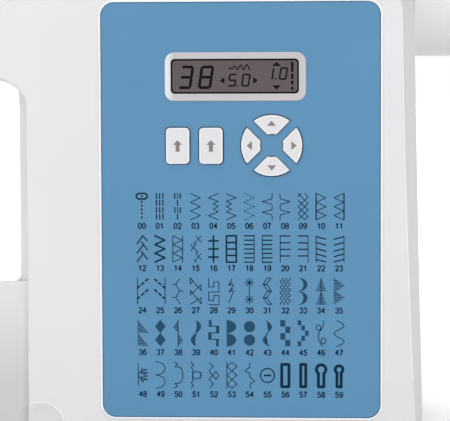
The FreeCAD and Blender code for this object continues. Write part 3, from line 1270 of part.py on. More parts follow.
# Hook, bobbin and feed
HOOK_TOP = BED_HEIGHT - 12.5
HOOK_LOW = LOWER_SHAFT_Z + HOOK_RATIO * HOOK_GEAR_R + 1.0
HOOK_WALL = 1.8
CASE_WALL = 1.5
BOBBIN_POST_R = 2.8
BAR_X = 4.6                # feed bars either side of the needle
BAR_WIDTH = 3.0
FEED_TRAVEL = 2.0          # each way
FEED_DROP = 3.0
BAR_LOW = BED_HEIGHT - 8.0
BAR_FRONT = AXIS_Y - 1.5
BAR_BACK = AXIS_Y + 19.0
CARRIER_THICK = 3.0
TEETH_PITCH = 1.5
TOOTH = 0.55
HOOK_FLOOR = HOOK_LOW + 3.0
HOOK_NOTCH_LEFT = 3.0
HOOK_NOTCH_RIGHT = 9.0
HOOK_NOTCH_DEPTH = 6.0
BOBBIN_LOW = 1.0           # bobbin below the rim of the hook
BOBBIN_FLANGE = 1.0
BOBBIN_CORE = 1.4
CARRIER_MARGIN = 4.0
CARRIER_FRONT = AXIS_Y + 3.0
BAR_END_GAP = 2.0          # teeth end before the back of the bars' slot


def hook_cup():
    cup = rod_z(HOOK_LOW, HOOK_TOP, NEEDLE_X, HOOK_Y, HOOK_R)
    cup = cup.cut(rod_z(HOOK_FLOOR, HOOK_TOP + OVER, NEEDLE_X, HOOK_Y, HOOK_R - HOOK_WALL))
    notch = block(NEEDLE_X + HOOK_NOTCH_LEFT, NEEDLE_X + HOOK_NOTCH_RIGHT, HOOK_Y, HOOK_Y + HOOK_R + OVER,
                  HOOK_TOP - HOOK_NOTCH_DEPTH, HOOK_TOP + OVER)
    return join(cup.cut(notch), rod_z(HOOK_LUG_LOW, HOOK_LOW + OVER, NEEDLE_X, HOOK_Y, HOOK_SHAFT_R))


def hook_gear():
    z0 = LOWER_SHAFT_Z - GEAR_HALF - OVER
    z1 = LOWER_SHAFT_Z + GEAR_HALF + OVER
    gear = rod_z(z0, z1, NEEDLE_X, HOOK_Y, HOOK_GEAR_R)
    gear = gear.cut(rod_z(z0 - OVER, z1 + OVER, NEEDLE_X, HOOK_Y, HOOK_SHAFT_R + BEARING_FIT))

    def gap(u, v):
        return rod_z(z0 - OVER, z1 + OVER, NEEDLE_X + u, HOOK_Y + v, GEAR_GAP_R)

    return toothed_disc(gear, HOOK_TEETH, HOOK_GEAR_R, gap)


def bobbin_case():
    z0 = HOOK_FLOOR + FIT
    r = HOOK_R - HOOK_WALL - FIT
    cup = rod_z(z0, HOOK_TOP, NEEDLE_X, HOOK_Y, r)
    cup = cup.cut(rod_z(z0 + CASE_WALL, HOOK_TOP + OVER, NEEDLE_X, HOOK_Y, r - CASE_WALL))
    return join(cup, rod_z(z0, HOOK_TOP - 2 * BOBBIN_LOW, NEEDLE_X, HOOK_Y, BOBBIN_POST_R))


def bobbin():
    z0 = HOOK_FLOOR + 2 * FIT + CASE_WALL
    z1 = HOOK_TOP - BOBBIN_LOW
    r = HOOK_R - HOOK_WALL - CASE_WALL - 2 * FIT
    bore = BOBBIN_POST_R + BEARING_FIT
    core = bore + BOBBIN_CORE
    return turned_z([(bore, z0, 0), (r, z0, 0), (r, z0 + BOBBIN_FLANGE, 0),
                     (core, z0 + BOBBIN_FLANGE, 0), (core, z1 - BOBBIN_FLANGE, 0), (r, z1 - BOBBIN_FLANGE, 0),
                     (r, z1, 0), (bore, z1, 0)], NEEDLE_X, HOOK_Y)


def feed_carrier():
    z0 = FEED_FLOOR + FEED_DROP + FIT
    half = FEED_POST_X + CARRIER_MARGIN
    plate = block(NEEDLE_X - half, NEEDLE_X + half, CARRIER_FRONT, FRAME_Y - FIT, z0, z0 + CARRIER_THICK)
    holes = [rod_z(z0 - OVER, z0 + CARRIER_THICK + OVER, NEEDLE_X + side * FEED_POST_X, FEED_POST_Y,
                   FEED_POST_R + BEARING_FIT) for side in (-1, 1)]
    return plate.cut(holes)


def feed_dog():
    z0 = FEED_FLOOR + FEED_DROP + CARRIER_THICK + 2 * FIT
    top = BED_HEIGHT + FEED_PROUD
    half = BAR_X + BAR_WIDTH
    base = block(NEEDLE_X - half, NEEDLE_X + half, CARRIER_FRONT + BAR_END_GAP, BAR_BACK - BAR_END_GAP,
                 z0, z0 + CARRIER_THICK)
    pieces = []
    cutters = []
    for x0 in (NEEDLE_X - half, NEEDLE_X + BAR_X):
        pieces.append(block(x0, x0 + BAR_WIDTH, BAR_FRONT, BAR_BACK - BAR_END_GAP, BAR_LOW, top))
        pieces.append(block(x0, x0 + BAR_WIDTH, 2 * CARRIER_FRONT - AXIS_Y, BAR_BACK - 2 * BAR_END_GAP, z0,
                            top - TOOTH))
    count = int((BAR_BACK - BAR_END_GAP - BAR_FRONT) / TEETH_PITCH)
    for i in range(count):
        y = BAR_FRONT + TEETH_PITCH * (i + 0.5)
        above = top + SEAM / 2
        groove = prism_x([(y - TOOTH, above, 0), (y + TOOTH, above, 0), (y, top - TOOTH, 0)],
                         NEEDLE_X - half - OVER, NEEDLE_X + half + OVER)
        cutters.append(groove)
    return join(base, *pieces).cut(cutters)


# Bed: needle plate, free arm, tray
ARM_LEFT = X_LEFT + TRAY_END + FIT
ARM_RIGHT = PILLAR_LEFT - SEAM
ARM_FRONT = AXIS_Y - FREE_ARM_FRONT
ARM_BACK = AXIS_Y + FREE_ARM_BACK
ARM_ROUND = 6.0
PLATE_LEFT = NEEDLE_X - 24.0
PLATE_RIGHT = NEEDLE_X + 34.0
PLATE_FRONT = ARM_FRONT + 6.0
PLATE_BACK = ARM_BACK - 6.0
PLATE_LOW = BED_HEIGHT - PLATE_THICK
PLATE_SHELF = 3.0
BOBBIN_HALF = 15.0
BOBBIN_BACK = AXIS_Y - 6.0
COVER_THICK = 2.3
GRIP_PITCH = 2.0           # grooves to push the cover with
GRIP_HALF = 5.0
GRIP_DEPTH = 0.5
Y_TRAY = Y_FRONT + TRAY_FRONT_BACK
TRAY_BACK = ARM_FRONT - FIT
TRAY_RIGHT = PILLAR_LEFT - FIT - SEAM
TONGUE_RIGHT = PILLAR_LEFT + LID_STEP - FIT
TONGUE_BACK = front_y(PILLAR_LEFT + LID_STEP) + LID_DEPTH - 2 * FIT
TRAY_ROUND = 10.0
TRAY_SOFT = 2.0
LID_LEFT = NEEDLE_X + 26.0
LID_RIGHT = PILLAR_LEFT - 24.0
LID_FRONT = Y_TRAY + 5.0
LID_BACK = TRAY_BACK - 4.0
LID_HINGE_R = 1.2
LID_PIN_R = 0.8
DROP_X = NEEDLE_X + 46.0
DROP_Z = BED_HEIGHT - 30.0
DROP_TRAVEL = 14.0
DROP_STEM = 4.0
DROP_KNOB_HALF = 4.0
DROP_KNOB_TALL = 5.0
DROP_KNOB_PROUD = 4.0
DROP_KNOB_CORNER = 2.0
DROP_KEEPER = 1.2
PLATE_CORNER = 3.0
PLATE_UNDER = 2.0          # shelf round and under the needle plate
BOBBIN_LEDGE = 2.0         # ledge that the bobbin cover slides on
COVER_CORNER = 1.5
TRAY_END_ROUND = 5.0
TRAY_SOLID = 8.0           # solid end of the tray beside the pillar
LID_PIN_REACH = 2.5
LID_GRIP_HALF = 9.0
LID_GRIP_R = 2.6
LINE_FIRST = 10.0          # lines on the needle plate, measured from the needle
LINE_PITCH = 5.0
LINE_COUNT = 5
LINE_WIDTH = 0.4
LINE_DEPTH = 0.25
LINE_MARGIN = 5.0
BASE_THICK = 4.0
BASE_FRONT = 2.0
FOOT_LOW_R = 8.0
FOOT_HIGH_R = 9.5
FOOT_EDGE = 1.5
FOOT_IN_ARM = 18.0
FOOT_IN_SIDE = 16.0
FOOT_IN_FRONT = 22.0
FOOT_IN_BACK = 20.0
SCREW_IN_LEFT = 36.0
SCREW_IN_RIGHT = 22.0
SCREW_UP = 16.0
SCREW_SHAFT_UP = 14.0
SCREW_HEAD_R = 3.8
SCREW_HEAD = 2.0
SCREW_R = 1.8
SCREW_LENGTH = 14.0
SCREW_SLOT = 3.0
SLOT_HALF = 0.5
VENT_COUNT = 9             # slots in the back that let the motor breathe
VENT_PITCH = 8.0
VENT_HALF = 1.5
VENT_LOW = CASE_FLOOR + 34.0
VENT_HIGH = CASE_FLOOR + 84.0


def needle_plate():
    plan = rect(PLATE_LEFT, PLATE_RIGHT, PLATE_FRONT, PLATE_BACK, PLATE_CORNER)
    plate = prism_z(plan, PLATE_LOW, BED_HEIGHT)
    low = PLATE_LOW - OVER
    high = BED_HEIGHT + OVER
    step = BED_HEIGHT - COVER_THICK - FIT
    near = BOBBIN_HALF - BOBBIN_LEDGE
    cutters = [
        block(NEEDLE_X - near, NEEDLE_X + near, PLATE_FRONT - OVER, BOBBIN_BACK - BOBBIN_LEDGE, low, high),
        block(NEEDLE_X - BOBBIN_HALF, NEEDLE_X + BOBBIN_HALF, PLATE_FRONT - OVER, BOBBIN_BACK, step, high),
        block(NEEDLE_X - NEEDLE_SLOT_X, NEEDLE_X + NEEDLE_SLOT_X, AXIS_Y - NEEDLE_SLOT_Y,
              AXIS_Y + NEEDLE_SLOT_Y, low, high),
    ]
    slot = FEED_TRAVEL + FIT
    for x0 in (NEEDLE_X - BAR_X - BAR_WIDTH, NEEDLE_X + BAR_X):
        cutters.append(block(x0 - FIT, x0 + BAR_WIDTH + FIT, BAR_FRONT - slot, BAR_BACK - BAR_END_GAP + slot,
                             low, high))
    for i in range(LINE_COUNT):
        x = NEEDLE_X + LINE_FIRST + LINE_PITCH * i
        cutters.append(block(x - LINE_WIDTH / 2, x + LINE_WIDTH / 2, BOBBIN_BACK + OVER,
                             PLATE_BACK - LINE_MARGIN, BED_HEIGHT - LINE_DEPTH, high))
    return plate.cut(cutters)


def bobbin_cover():
    x = BOBBIN_HALF - FIT
    y1 = BOBBIN_BACK - FIT
    plan = rect(NEEDLE_X - x, NEEDLE_X + x, PLATE_FRONT, y1, COVER_CORNER)
    plate = prism_z(plan, BED_HEIGHT - COVER_THICK, BED_HEIGHT)
    y0 = PLATE_FRONT + GRIP_PITCH
    grip = block(NEEDLE_X - GRIP_HALF, NEEDLE_X + GRIP_HALF, y0, y0 + GRIP_PITCH / 2,
                 BED_HEIGHT - GRIP_DEPTH, BED_HEIGHT + OVER)
    return plate.cut([grip.translated(V(0, GRIP_PITCH * i, 0)) for i in range(3)])


def free_arm_cover():
    points = rect(ARM_FRONT, ARM_BACK, FREE_ARM_LOW, BED_HEIGHT)
    low_front, low_back, high_back, high_front = [(y, z) for y, z, _ in points]
    section = [(*low_front, ARM_ROUND), (*low_back, ARM_ROUND), (*high_back, TRAY_SOFT), (*high_front, 1)]
    shell = prism_x(section, ARM_LEFT, ARM_RIGHT)
    w = ARM_WALL
    hollow = prism_x(rect(ARM_FRONT + w, ARM_BACK - w, FREE_ARM_LOW + w, BED_HEIGHT - w, ARM_ROUND - w),
                     ARM_LEFT + w, ARM_RIGHT + OVER)
    u = PLATE_UNDER
    shelf = block(PLATE_LEFT - u, PLATE_RIGHT + u, PLATE_FRONT - u, PLATE_BACK + u, PLATE_LOW - u,
                  BED_HEIGHT - OVER)
    s = PLATE_SHELF
    cutters = [
        prism_z(rect(PLATE_LEFT - SEAM, PLATE_RIGHT + SEAM, PLATE_FRONT - SEAM, PLATE_BACK + SEAM,
                     PLATE_CORNER + SEAM),
                PLATE_LOW, BED_HEIGHT + OVER),
        block(PLATE_LEFT + s, PLATE_RIGHT - s, PLATE_FRONT + s, PLATE_BACK - s, PLATE_LOW - u - OVER,
              BED_HEIGHT),
        block(NEEDLE_X - BOBBIN_HALF, NEEDLE_X + BOBBIN_HALF, ARM_FRONT - OVER, PLATE_FRONT + OVER,
              BED_HEIGHT - COVER_THICK - FIT, BED_HEIGHT + OVER),
        block(DROP_X - DROP_STEM / 2 - FIT, DROP_X + DROP_STEM / 2 + DROP_TRAVEL + FIT, ARM_BACK - 2 * w,
              ARM_BACK + OVER, DROP_Z - DROP_STEM / 2 - FIT, DROP_Z + DROP_STEM / 2 + FIT),
    ]
    return shell.cut(hollow).fuse(shelf).cut(cutters).removeSplitter()


def drop_feed_lever():
    inner = ARM_BACK - ARM_WALL - FIT
    half = DROP_STEM / 2
    x0 = DROP_X - DROP_KNOB_HALF
    x1 = DROP_X + DROP_KNOB_HALF
    z0 = DROP_Z - DROP_KNOB_TALL
    z1 = DROP_Z + DROP_KNOB_TALL
    knob = prism_y(rect(x0, x1, z0, z1, DROP_KNOB_CORNER), ARM_BACK + FIT, ARM_BACK + DROP_KNOB_PROUD)
    stem = block(DROP_X - half, DROP_X + half, inner - DROP_KEEPER, ARM_BACK + DROP_KNOB_PROUD / 2,
                 DROP_Z - half, DROP_Z + half)
    keeper = block(x0, x1, inner - DROP_KEEPER, inner, z0, z1)
    return join(knob, stem, keeper)


def accessory_tray():
    plan = [(X_LEFT, Y_TRAY, TRAY_ROUND), (TONGUE_RIGHT, Y_TRAY, 0), (TONGUE_RIGHT, TONGUE_BACK, 0),
            (TRAY_RIGHT, TONGUE_BACK, 0), (TRAY_RIGHT, TRAY_BACK, 0), (ARM_LEFT - FIT, TRAY_BACK, 1),
            (ARM_LEFT - FIT, ARM_BACK, 0), (X_LEFT, ARM_BACK, TRAY_END_ROUND)]
    body = prism_z(plan, TRAY_LOW, BED_HEIGHT)
    top = [e for e in body.Edges if all(abs(v.Z - BED_HEIGHT) < 1e-4 for v in e.Vertexes)]
    rim = [e for e in top if e.CenterOfMass.y < Y_TRAY + 5 and e.CenterOfMass.x < TONGUE_RIGHT - 5]
    rim += [e for e in top if e.CenterOfMass.x < X_LEFT + 1 and e not in rim]
    body = body.makeFillet(TRAY_SOFT, rim)
    w = TRAY_WALL
    hollow_plan = rect(X_LEFT + w, TRAY_RIGHT - w - TRAY_SOLID, Y_TRAY + w, TRAY_BACK - w, TRAY_ROUND - w)
    hollow = prism_z(hollow_plan, TRAY_LOW + w, BED_HEIGHT - w)
    g = LID_OPEN_GAP
    mouth = block(LID_LEFT - g, LID_RIGHT + g, LID_FRONT - g, LID_BACK + g, BED_HEIGHT - 2 * w,
                  BED_HEIGHT + OVER)
    hinge_y = LID_FRONT + LID_HINGE_R
    reach = LID_PIN_REACH + SEAM + FIT
    pins = rod_x(LID_LEFT - reach, LID_RIGHT + reach, hinge_y, BED_HEIGHT - LID_HINGE_R,
                 LID_PIN_R + BEARING_FIT)
    return body.cut([hollow, mouth, pins, scoop(Y_TRAY, SCOOP_DEPTH / 2)])


def tray_lid():
    z = BED_HEIGHT - LID_HINGE_R
    y = LID_FRONT + LID_HINGE_R
    plate = block(LID_LEFT, LID_RIGHT, y, LID_BACK, z - LID_HINGE_R, BED_HEIGHT)
    edge = rod_x(LID_LEFT, LID_RIGHT, y, z, LID_HINGE_R)
    pins = rod_x(LID_LEFT - LID_PIN_REACH, LID_RIGHT + LID_PIN_REACH, y, z, LID_PIN_R)
    middle = (LID_LEFT + LID_RIGHT) / 2
    grip = rod_x(middle - LID_GRIP_HALF, middle + LID_GRIP_HALF, LID_BACK, BED_HEIGHT + OVER, LID_GRIP_R)
    return join(plate, edge, pins).cut(grip)


def base_plate():
    right = CASE_RIGHT_LOW - WALL
    left = PILLAR_LEFT + OVER
    end = ARM_LEFT + BASE_THICK
    toe = TONGUE_RIGHT + 2 * FIT
    toe_back = TONGUE_BACK + OVER
    back = ARM_BACK - WALL
    front = ARM_FRONT + WALL
    fore = Y_FRONT + BASE_FRONT
    plan = [(left, toe_back, 0), (toe, toe_back, 0), (toe, fore, 2), (right - LID_STEP, fore, 4),
            (right, Y_FRONT + LID_DEPTH, 4), (right, Y_BACK - WALL, 6),
            (SWEEP_END + BACK_SWEEP_SHIFT, Y_BACK - WALL, 0), (left, back_y(left) - 2 * WALL, 4),
            (left, back, 0), (end, back, 8), (end, front, 8), (left, front, 0)]
    return prism_z(plan, CASE_FLOOR - BASE_THICK, CASE_FLOOR)


def rubber_feet():
    near = PILLAR_LEFT + FOOT_IN_SIDE
    right = CASE_RIGHT_LOW - FOOT_IN_ARM
    left = ARM_LEFT + FOOT_IN_ARM
    fore = Y_FRONT + FOOT_IN_FRONT
    places = [(left, ARM_FRONT + FOOT_IN_SIDE), (left, ARM_BACK - FOOT_IN_SIDE), (near, fore), (right, fore),
              (right, Y_BACK - FOOT_IN_BACK), (near, Y_BACK - FOOT_IN_BACK - 2 * WALL)]
    z1 = CASE_FLOOR - BASE_THICK
    profile = [(0, 0, 0), (FOOT_LOW_R, 0, FOOT_EDGE), (FOOT_HIGH_R, z1, 0), (0, z1, 0)]
    return Part.makeCompound([turned_z(profile, x, y) for x, y in places])


def screw_places():
    columns = (SWEEP_END + SCREW_IN_LEFT, case_right(CASE_TOP) - SCREW_IN_RIGHT)
    rows = (CASE_FLOOR + SCREW_UP, SHAFT_Z + SCREW_SHAFT_UP)
    return [(x, z) for x in columns for z in rows]


def cover_screws():
    screws = []
    sunk = Y_BACK - SCREW_HEAD
    for x, z in screw_places():
        head = rod_y(sunk, Y_BACK - SEAM, x, z, SCREW_HEAD_R)
        slot = block(x - SCREW_SLOT, x + SCREW_SLOT, sunk + OVER, Y_BACK, z - SLOT_HALF, z + SLOT_HALF)
        cross = block(x - SLOT_HALF, x + SLOT_HALF, sunk + OVER, Y_BACK, z - SCREW_SLOT, z + SCREW_SLOT)
        shank = rod_y(Y_BACK - SCREW_LENGTH, sunk + SLOT_HALF, x, z, SCREW_R)
        screws.append(join(head, shank).cut([slot, cross]))
    return Part.makeCompound(screws)


def lamp_lens():
    lens = block(LAMP_X - LAMP_HALF, LAMP_X + LAMP_HALF, AXIS_Y - LAMP_LENGTH, AXIS_Y + LAMP_LENGTH,
                 HEAD_LOW - OVER, HEAD_LOW + WALL)
    return soften(lens, KEY_SOFT, lambda e: all(abs(v.Z - HEAD_LOW + OVER) < 1e-4 for v in e.Vertexes))


# Handle, spool and winder on top, and the power inlet
HANDLE_PIVOT_Y = HANDLE_FRONT + 7.0
HANDLE_PIVOT_Z = CASE_TOP - 9.0
HANDLE_PIN_R = 3.0
HANDLE_ARM = 10.0
HANDLE_THICK = 12.0
SPOOL_PIN_R = 3.0
SPOOL_PIN_Z = CASE_TOP - 3.0
SPOOL_PIN_LENGTH = 56.0
SPOOL_CAP_R = 12.0
SPOOL_CAP_X = SPOOL_LEFT + 26.0
WINDER_REACH = 34.0        # pivot of the winder lever behind its spindle
WINDER_PIN_R = 3.0
WINDER_THICK = 2.5
WINDER_Z = CASE_TOP - WALL - FIT - WINDER_THICK
WINDER_TOP = CASE_TOP + 12.0
WINDER_SEAT_R = 9.0
ROCKER_R = 8.0
ROCKER_PIN_R = 1.0
INLET_RIM = 3.0
SWITCH_RIM = 2.0
ROCKER_LENGTH = SWITCH_HEIGHT - 4.0
ROCKER_BACK = 3.0
ROCKER_DIP = 1.2
ROCKER_SUNK = 5.0
HANDLE_PLAY = 0.3
HANDLE_BACK_GAP = 2.5
HANDLE_ROUND = 4.0
HANDLE_ARM_HALF = 5.0
SPOOL_ROOT = 3.0
SPOOL_ROOT_R = 9.0
SPOOL_TIP_ROUND = 1.5
SPOOL_CAP_NOSE = 6.0
SPOOL_CAP_NECK_R = 7.0
SPOOL_CAP_THICK = 2.5
SPOOL_CAP_EDGE = 0.6
WINDER_BAR_HALF = 5.0
WINDER_EYE_R = 7.0
WINDER_WASHER = 1.5
WINDER_COLLAR = 2.0
WINDER_SEAT = 1.6
GUIDE_PLACES = ((HEAD_RIGHT - 8.0, AXIS_Y - 22.0), (HEAD_RIGHT + 42.0, AXIS_Y - 6.0))
GUIDE_FOOT_R = 4.0
GUIDE_NECK_R = 1.6
GUIDE_CAP_R = 4.5
GUIDE_TALL = 7.5
GUIDE_PLATE = 1.5
POWER_DEPTH = 15.0
POWER_FLOOR = 2.0
INLET_FLANGE = 1.5
INLET_CORNER = 2.5
INLET_CAVITY_CORNER = 4.0
BLADE_APART = 4.3
BLADE_R = 1.2
BLADE_SUNK = 4.0
SWITCH_FLANGE = 1.2
SWITCH_CORNER = 2.0


def carrying_handle():
    half = HANDLE_SPAN / 2 - FIT - HANDLE_PLAY
    x0 = HANDLE_X - half
    x1 = HANDLE_X + half
    grip_back = HANDLE_FRONT + HANDLE_DEPTH - HANDLE_BACK_GAP
    grip_front = grip_back - HANDLE_THICK
    grip = prism_x(rect(grip_front, grip_back, CASE_TOP - HANDLE_THICK, CASE_TOP, HANDLE_ROUND), x0, x1)
    pieces = []
    for x in (x0, x1 - HANDLE_ARM):
        pieces.append(block(x, x + HANDLE_ARM, HANDLE_PIVOT_Y, grip_front + HANDLE_ROUND,
                            HANDLE_PIVOT_Z - HANDLE_ARM_HALF, HANDLE_PIVOT_Z + HANDLE_ARM_HALF))
        pieces.append(rod_x(x, x + HANDLE_ARM, HANDLE_PIVOT_Y, HANDLE_PIVOT_Z, HANDLE_PIN_R * 2))
    for x in (x0 - WALL, x1 - OVER):
        pieces.append(rod_x(x, x + WALL + OVER, HANDLE_PIVOT_Y, HANDLE_PIVOT_Z, HANDLE_PIN_R))
    return join(grip, *pieces)


def spool_pin():
    root = SPOOL_LEFT + SPOOL_SPAN
    tip = root - SPOOL_PIN_LENGTH
    pin = rod_x(tip, root, SPOOL_Y, SPOOL_PIN_Z, SPOOL_PIN_R)
    pin = soften(pin, SPOOL_TIP_ROUND, lambda e: e.CenterOfMass.x < tip + SEAM)
    return join(pin, rod_x(root - SPOOL_ROOT, root, SPOOL_Y, SPOOL_PIN_Z, SPOOL_ROOT_R))


def spool_cap():
    x = SPOOL_CAP_X
    nose = x - SPOOL_CAP_NOSE
    back = x + SPOOL_CAP_THICK
    bore = SPOOL_PIN_R + BEARING_FIT
    profile = [(nose, bore, 0), (nose, SPOOL_CAP_NECK_R - OVER, 1), (x, SPOOL_CAP_NECK_R, 2),
               (x, SPOOL_CAP_R, SPOOL_CAP_EDGE), (back, SPOOL_CAP_R, SPOOL_CAP_EDGE), (back, bore, 0)]
    return turned_x(profile, SPOOL_Y, SPOOL_PIN_Z)


def winder_lever():
    y1 = WINDER_Y + WINDER_REACH
    z0 = WINDER_Z
    z1 = WINDER_Z + WINDER_THICK
    bar = block(WINDER_X - WINDER_BAR_HALF, WINDER_X + WINDER_BAR_HALF, WINDER_Y, y1, z0, z1)
    lever = join(bar, rod_z(z0, z1, WINDER_X, WINDER_Y, WINDER_EYE_R),
                 rod_z(z0, z1, WINDER_X, y1, WINDER_EYE_R))
    return lever.cut([rod_z(z0 - OVER, z1 + OVER, WINDER_X, WINDER_Y, WINDER_R + BEARING_FIT),
                      rod_z(z0 - OVER, z1 + OVER, WINDER_X, y1, WINDER_PIN_R + BEARING_FIT)])


def winder_post():
    y = WINDER_Y + WINDER_REACH
    z0 = WINDER_Z - FIT - WINDER_WASHER
    washer = rod_z(z0, z0 + WINDER_WASHER, WINDER_X, y, WINDER_BAR_HALF)
    return join(rod_z(z0, CASE_TOP - OVER, WINDER_X, y, WINDER_PIN_R), washer)


def winder_spindle():
    collar = WINDER_Z - FIT
    low = collar - WINDER_COLLAR
    seat = CASE_TOP + OVER
    rest = seat + WINDER_SEAT
    profile = [(0, low, 0), (WINDER_BAR_HALF, low, 0), (WINDER_BAR_HALF, collar, 0), (WINDER_R, collar, 0),
               (WINDER_R, seat, 0), (WINDER_SEAT_R, seat, 0), (WINDER_SEAT_R, rest, 0.6),
               (WINDER_R, rest, 0), (WINDER_R, WINDER_TOP, 1), (0, WINDER_TOP, 0)]
    return turned_z(profile, WINDER_X, WINDER_Y)


def thread_guides():
    foot = CASE_TOP + GUIDE_PLATE
    top = CASE_TOP + GUIDE_TALL
    cap = top - GUIDE_PLATE
    profile = [(0, CASE_TOP, 0), (GUIDE_FOOT_R, CASE_TOP, 0), (GUIDE_FOOT_R, foot, 0.5),
               (GUIDE_NECK_R, foot + 0.5, 0.8), (GUIDE_NECK_R, cap - 0.5, 0.8), (GUIDE_CAP_R, cap, 0),
               (GUIDE_CAP_R, top, 0.6), (0, top, 0)]
    return Part.makeCompound([turned_z(profile, x, y) for x, y in GUIDE_PLACES])


def power_inlet():
    x1 = case_right(INLET_Z - INLET_HEIGHT) + INLET_FLANGE
    x0 = case_right(INLET_Z) - POWER_DEPTH
    hy = INLET_WIDTH / 2
    hz = INLET_HEIGHT / 2
    body = block(x0, x1, POWER_Y - hy, POWER_Y + hy, INLET_Z - hz, INLET_Z + hz)
    rim = INLET_RIM
    outer = rect(POWER_Y - hy - rim, POWER_Y + hy + rim, INLET_Z - hz - rim, INLET_Z + hz + rim, INLET_CORNER)
    inner = rect(POWER_Y - hy + rim, POWER_Y + hy - rim, INLET_Z - hz + rim, INLET_Z + hz - rim,
                 INLET_CAVITY_CORNER)
    flange = prism_x(outer, x1 - INLET_FLANGE, x1)
    cavity = prism_x(inner, x0 + POWER_FLOOR, x1 + OVER)
    blades = [rod_x(x0 + OVER, x1 - BLADE_SUNK, POWER_Y + side * BLADE_APART, INLET_Z, BLADE_R)
              for side in (-1, 1)]
    return join(join(body, flange).cut(cavity), *blades)


def switch_frame():
    x1 = case_right(SWITCH_Z - SWITCH_HEIGHT) + SWITCH_FLANGE
    x0 = case_right(SWITCH_Z) - POWER_DEPTH
    hy = SWITCH_WIDTH / 2
    hz = SWITCH_HEIGHT / 2
    body = block(x0, x1, POWER_Y - hy, POWER_Y + hy, SWITCH_Z - hz, SWITCH_Z + hz)
    rim = SWITCH_RIM
    outer = rect(POWER_Y - hy - rim, POWER_Y + hy + rim, SWITCH_Z - hz - rim, SWITCH_Z + hz + rim,
                 SWITCH_CORNER)
    flange = prism_x(outer, x1 - SWITCH_FLANGE, x1)
    half = ROCKER_LENGTH / 2 + FIT
    well = block(x0 + POWER_FLOOR, x1 + OVER, POWER_Y - ROCKER_R - FIT, POWER_Y + ROCKER_R + FIT,
                 SWITCH_Z - half, SWITCH_Z + half)
    axle = rod_z(SWITCH_Z - hz - OVER, SWITCH_Z + hz + OVER, rocker_x(), POWER_Y, ROCKER_PIN_R + BEARING_FIT)
    return join(body, flange).cut([well, axle])


def rocker_x():
    return case_right(SWITCH_Z) - ROCKER_SUNK


def power_switch():
    x = rocker_x()
    half = ROCKER_LENGTH / 2
    drum = rod_z(SWITCH_Z - half, SWITCH_Z + half, x, POWER_Y, ROCKER_R)
    front = block(x - ROCKER_BACK, x + ROCKER_R + OVER, POWER_Y - ROCKER_R, POWER_Y + ROCKER_R,
                  SWITCH_Z - half, SWITCH_Z + half)
    dip_x = x + 2 * ROCKER_R - ROCKER_DIP
    dip = rod_z(SWITCH_Z - half - OVER, SWITCH_Z + half + OVER, dip_x, POWER_Y, ROCKER_R)
    reach = SWITCH_HEIGHT / 2
    pin = rod_z(SWITCH_Z - reach, SWITCH_Z + reach, x, POWER_Y, ROCKER_PIN_R)
    return join(drum.common(front).cut(dip), pin)


def vents():
    """Upright slots in the back, between the two columns of screws."""
    (left, _), (right, _) = screw_places()[0], screw_places()[-1]
    first = (left + right - VENT_PITCH * (VENT_COUNT - 1)) / 2
    slot = prism_y(rect(first - VENT_HALF, first + VENT_HALF, VENT_LOW, VENT_HIGH, VENT_HALF - SEAM),
                   Y_BACK - 2 * WALL, Y_BACK + OVER)
    return [slot.translated(V(VENT_PITCH * i, 0, 0)) for i in range(VENT_COUNT)]


def finished_rear_cover():
    half = HANDLE_SPAN / 2 + WALL
    cover = rear_cover().fuse(winder_post())
    cutters = vents()
    cutters.append(rod_x(HANDLE_X - half - OVER, HANDLE_X + half + OVER, HANDLE_PIVOT_Y, HANDLE_PIVOT_Z,
                         HANDLE_PIN_R + BEARING_FIT))
    for x, z in screw_places():
        cutters.append(rod_y(Y_BACK - SCREW_HEAD, Y_BACK + OVER, x, z, SCREW_HEAD_R + 2 * SEAM))
        cutters.append(rod_y(Y_BACK - 2 * WALL, Y_BACK, x, z, SCREW_R + SEAM))
    return cover.cut(cutters)


def group(*builders):
    """Separate solids that share one node."""
    return lambda: Part.makeCompound([solid for build in builders for solid in build().Solids])


PIECES = {
    "front_cover": front_cover,
    "rear_cover": finished_rear_cover,
    "face_cover": face_cover,
    "base_plate": base_plate,
    "free_arm_cover": free_arm_cover,
    "accessory_tray": accessory_tray,
    "tray_lid": tray_lid,
    "carrying_handle": carrying_handle,
    "rubber_feet": rubber_feet,
    "cover_screws": cover_screws,
    "lamp_lens": lamp_lens,
    "control_panel": control_panel,
    "display_bezel": display_bezel,
    "display_lens": display_lens,
    "circuit_boards": group(control_board, head_board),
    "speed_slider": speed_slider,
    "tension_dial": tension_dial,
    "tension_unit": group(tension_bracket, tension_discs),
    "thread_guides": thread_guides,
    "take_up_lever": take_up_lever,
    "spool_pin": spool_pin,
    "spool_cap": spool_cap,
    "winder_lever": winder_lever,
    "winder_spindle": winder_spindle,
    "main_frame": main_frame,
    "shaft_bushes": shaft_bushes,
    "main_shaft": main_shaft,
    "hand_wheel": hand_wheel,
    "shaft_pulleys": group(drive_pulley, upper_timing_pulley),
    "lower_shaft": group(lower_shaft, lower_timing_pulley, hook_drive_gear),
    "drive_belts": group(timing_belt, motor_belt),
    "motor": motor,
    "motor_pulley": motor_pulley,
    "needle_crank": needle_crank,
    "connecting_rod": connecting_rod,
    "needle_bar_frame": needle_bar_frame,
    "needle_bar": group(needle_bar, needle_clamp),
    "needle": needle,
    "presser_bar": group(presser_bar, foot_holder),
    "presser_foot": presser_foot,
    "presser_lever": presser_lever,
    "needle_plate": needle_plate,
    "bobbin_cover": bobbin_cover,
    "hook": group(hook_cup, hook_gear),
    "bobbin_case": bobbin_case,
    "bobbin": bobbin,
    "feed_carrier": feed_carrier,
    "feed_dog": feed_dog,
    "drop_feed_lever": drop_feed_lever,
    "power_inlet": group(power_inlet, switch_frame),
    "power_switch": power_switch,
}


